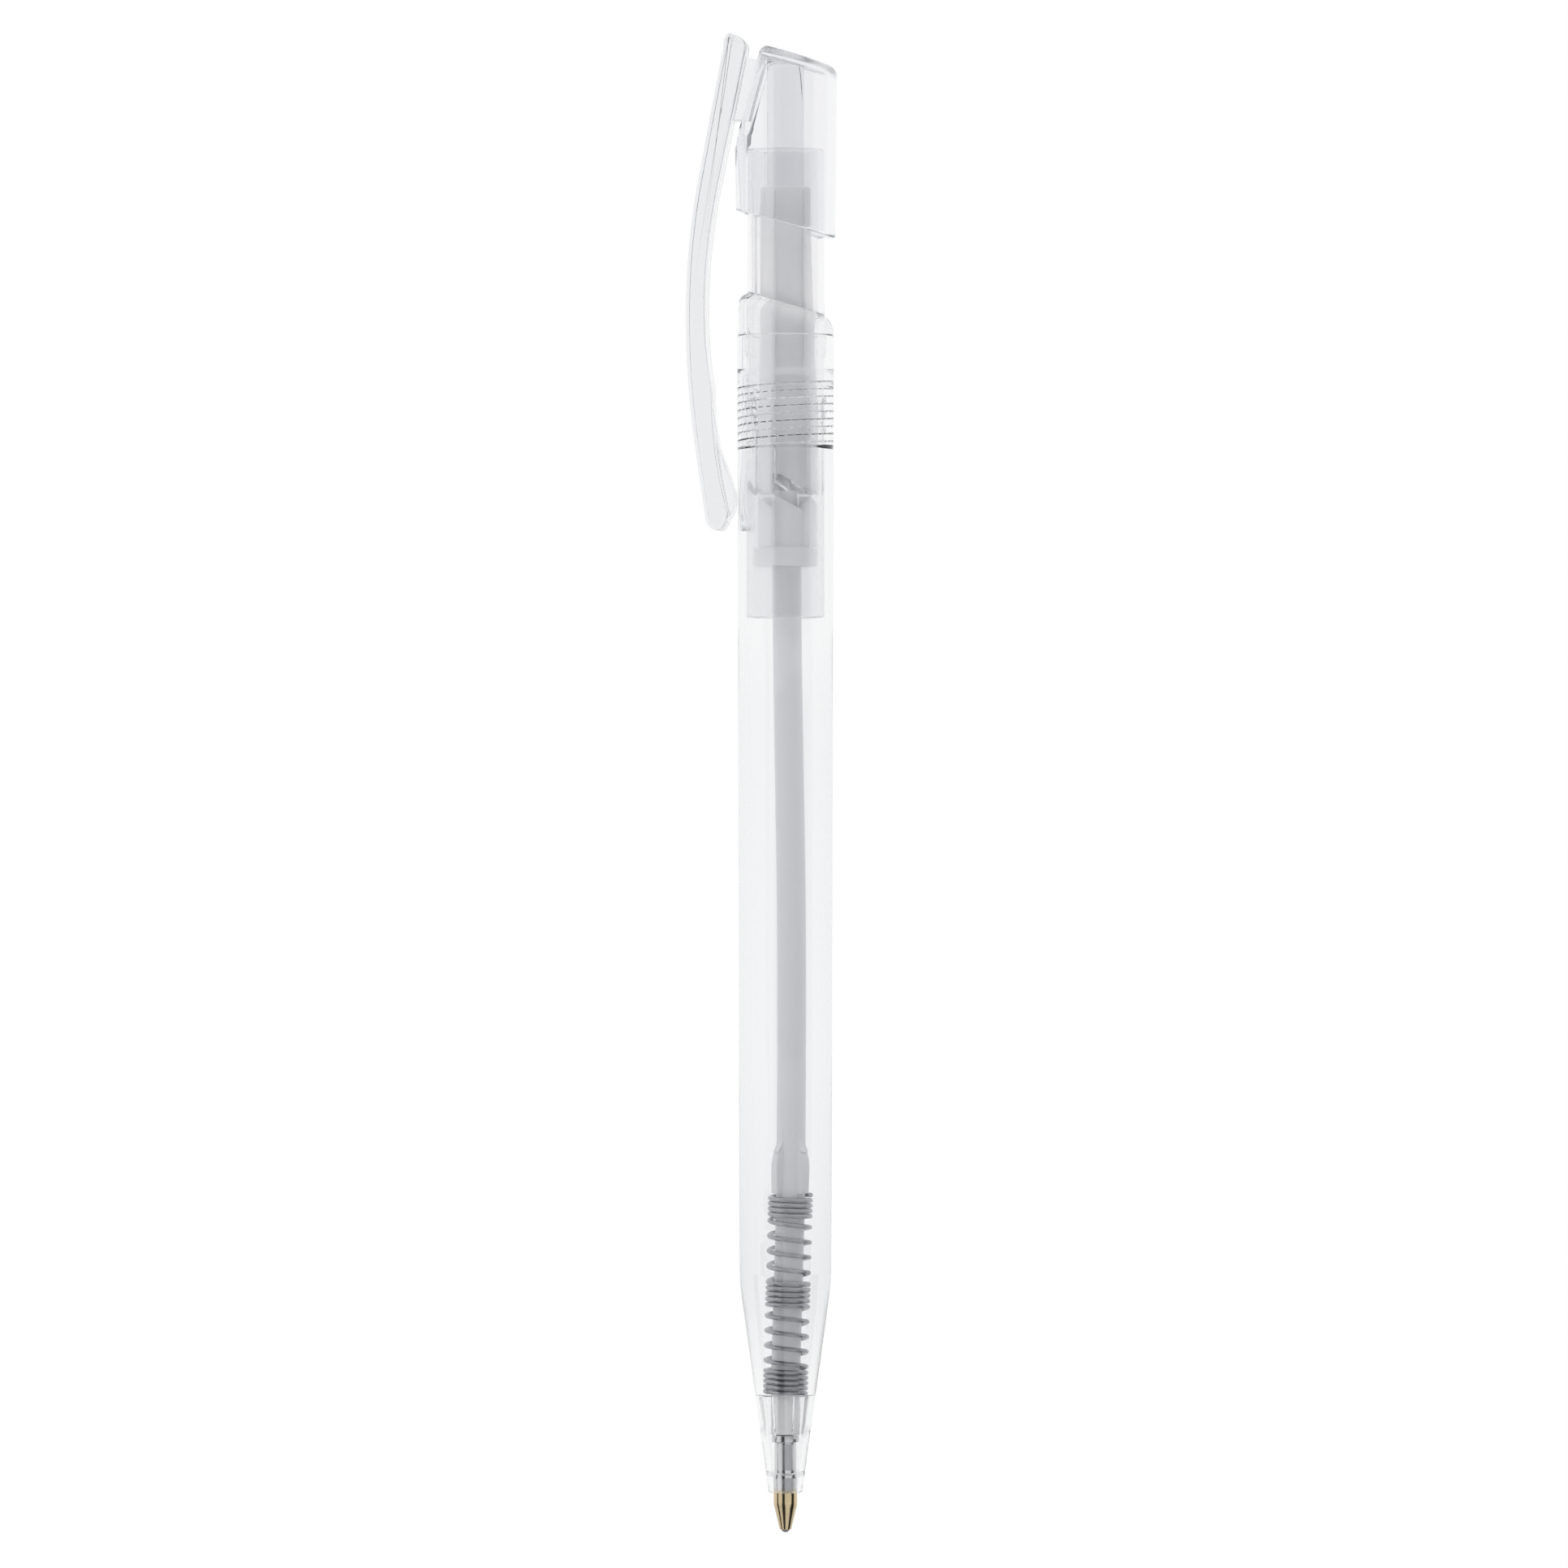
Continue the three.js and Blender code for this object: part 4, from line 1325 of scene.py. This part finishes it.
def make_camera():
    """A long lens, level with the middle of the pen and turned a little away from the
    clip. half_view is half the picture's width at the pen, in metres."""
    scene = bpy.context.scene
    distance = scene.pen_sizes.camera_distance
    half_view = 0.07606
    shift = 0.00014
    turn = math.radians(5.7)
    aim = Vector((0, 0, 0.0376))
    out = Vector((math.sin(turn), -math.cos(turn), 0))
    across = Vector((math.cos(turn), math.sin(turn), 0))
    camera = bpy.data.cameras.new("studio_camera")
    camera.sensor_width = 36
    camera.lens = camera.sensor_width / 2 * distance / half_view
    camera.clip_start = 0.01
    camera.clip_end = 50
    piece = bpy.data.objects.new("studio_camera", camera)
    piece.location = aim + out * distance - across * shift
    piece.rotation_euler = (-out).to_track_quat("-Z", "Y").to_euler()
    scene.collection.objects.link(piece)
    scene.camera = piece


class PEN_OT_stage(bpy.types.Operator):
    """Set up the floor, light and camera"""

    bl_idname = "pen.stage"
    bl_label = "Stage"
    bl_options = {"REGISTER", "UNDO"}

    def execute(self, context):
        scene = context.scene
        scene.view_settings.view_transform = "Standard"
        scene.cycles.max_bounces = BOUNCES
        scene.cycles.transmission_bounces = BOUNCES
        scene.cycles.glossy_bounces = BOUNCES
        scene.cycles.blur_glossy = 0.0
        make_world()
        make_floor()
        make_card("grey_card", "d2d4d6", 25, 0, distance=1.3, width=3.0, height=2.2)
        for name, azimuth, width in DARK_STRIPS:
            make_card(name, "101113", azimuth, -35, distance=0.11, width=width, height=0.1)
        make_camera()
        for name, place, size, power in LAMPS:
            soft_lamp(name, place, size, power)
        return {"FINISHED"}


class PEN_PT_panel(bpy.types.Panel):
    """Lists the pen's pieces in the sidebar"""

    bl_idname = "PEN_PT_panel"
    bl_label = "Ballpoint Pen"
    bl_space_type = "VIEW_3D"
    bl_region_type = "UI"
    bl_category = "Pen"

    def draw(self, context):
        layout = self.layout
        for group in (context.scene.pen_sizes, context.scene.pen_colours):
            for name in type(group).__annotations__:
                layout.prop(group, name)
        for operator in BUILD_ORDER:
            layout.operator(operator.bl_idname)


BUILD_ORDER = (
    PEN_OT_barrel,
    PEN_OT_sleeve,
    PEN_OT_cap,
    PEN_OT_click_parts,
    PEN_OT_refill,
    PEN_OT_spring,
    PEN_OT_stage,
)
CLASSES = (PenSizes, PenColours, *BUILD_ORDER, PEN_PT_panel)


def register():
    for cls in CLASSES:
        bpy.utils.register_class(cls)
    bpy.types.Scene.pen_sizes = PointerProperty(type=PenSizes)
    bpy.types.Scene.pen_colours = PointerProperty(type=PenColours)


def unregister():
    del bpy.types.Scene.pen_colours
    del bpy.types.Scene.pen_sizes
    for cls in reversed(CLASSES):
        bpy.utils.unregister_class(cls)


def main():
    register()
    bpy.ops.pen.barrel()
    bpy.ops.pen.sleeve()
    bpy.ops.pen.cap()
    bpy.ops.pen.click_parts()
    bpy.ops.pen.refill()
    bpy.ops.pen.spring()
    bpy.ops.pen.stage()


if __name__ == "__main__":
    main()
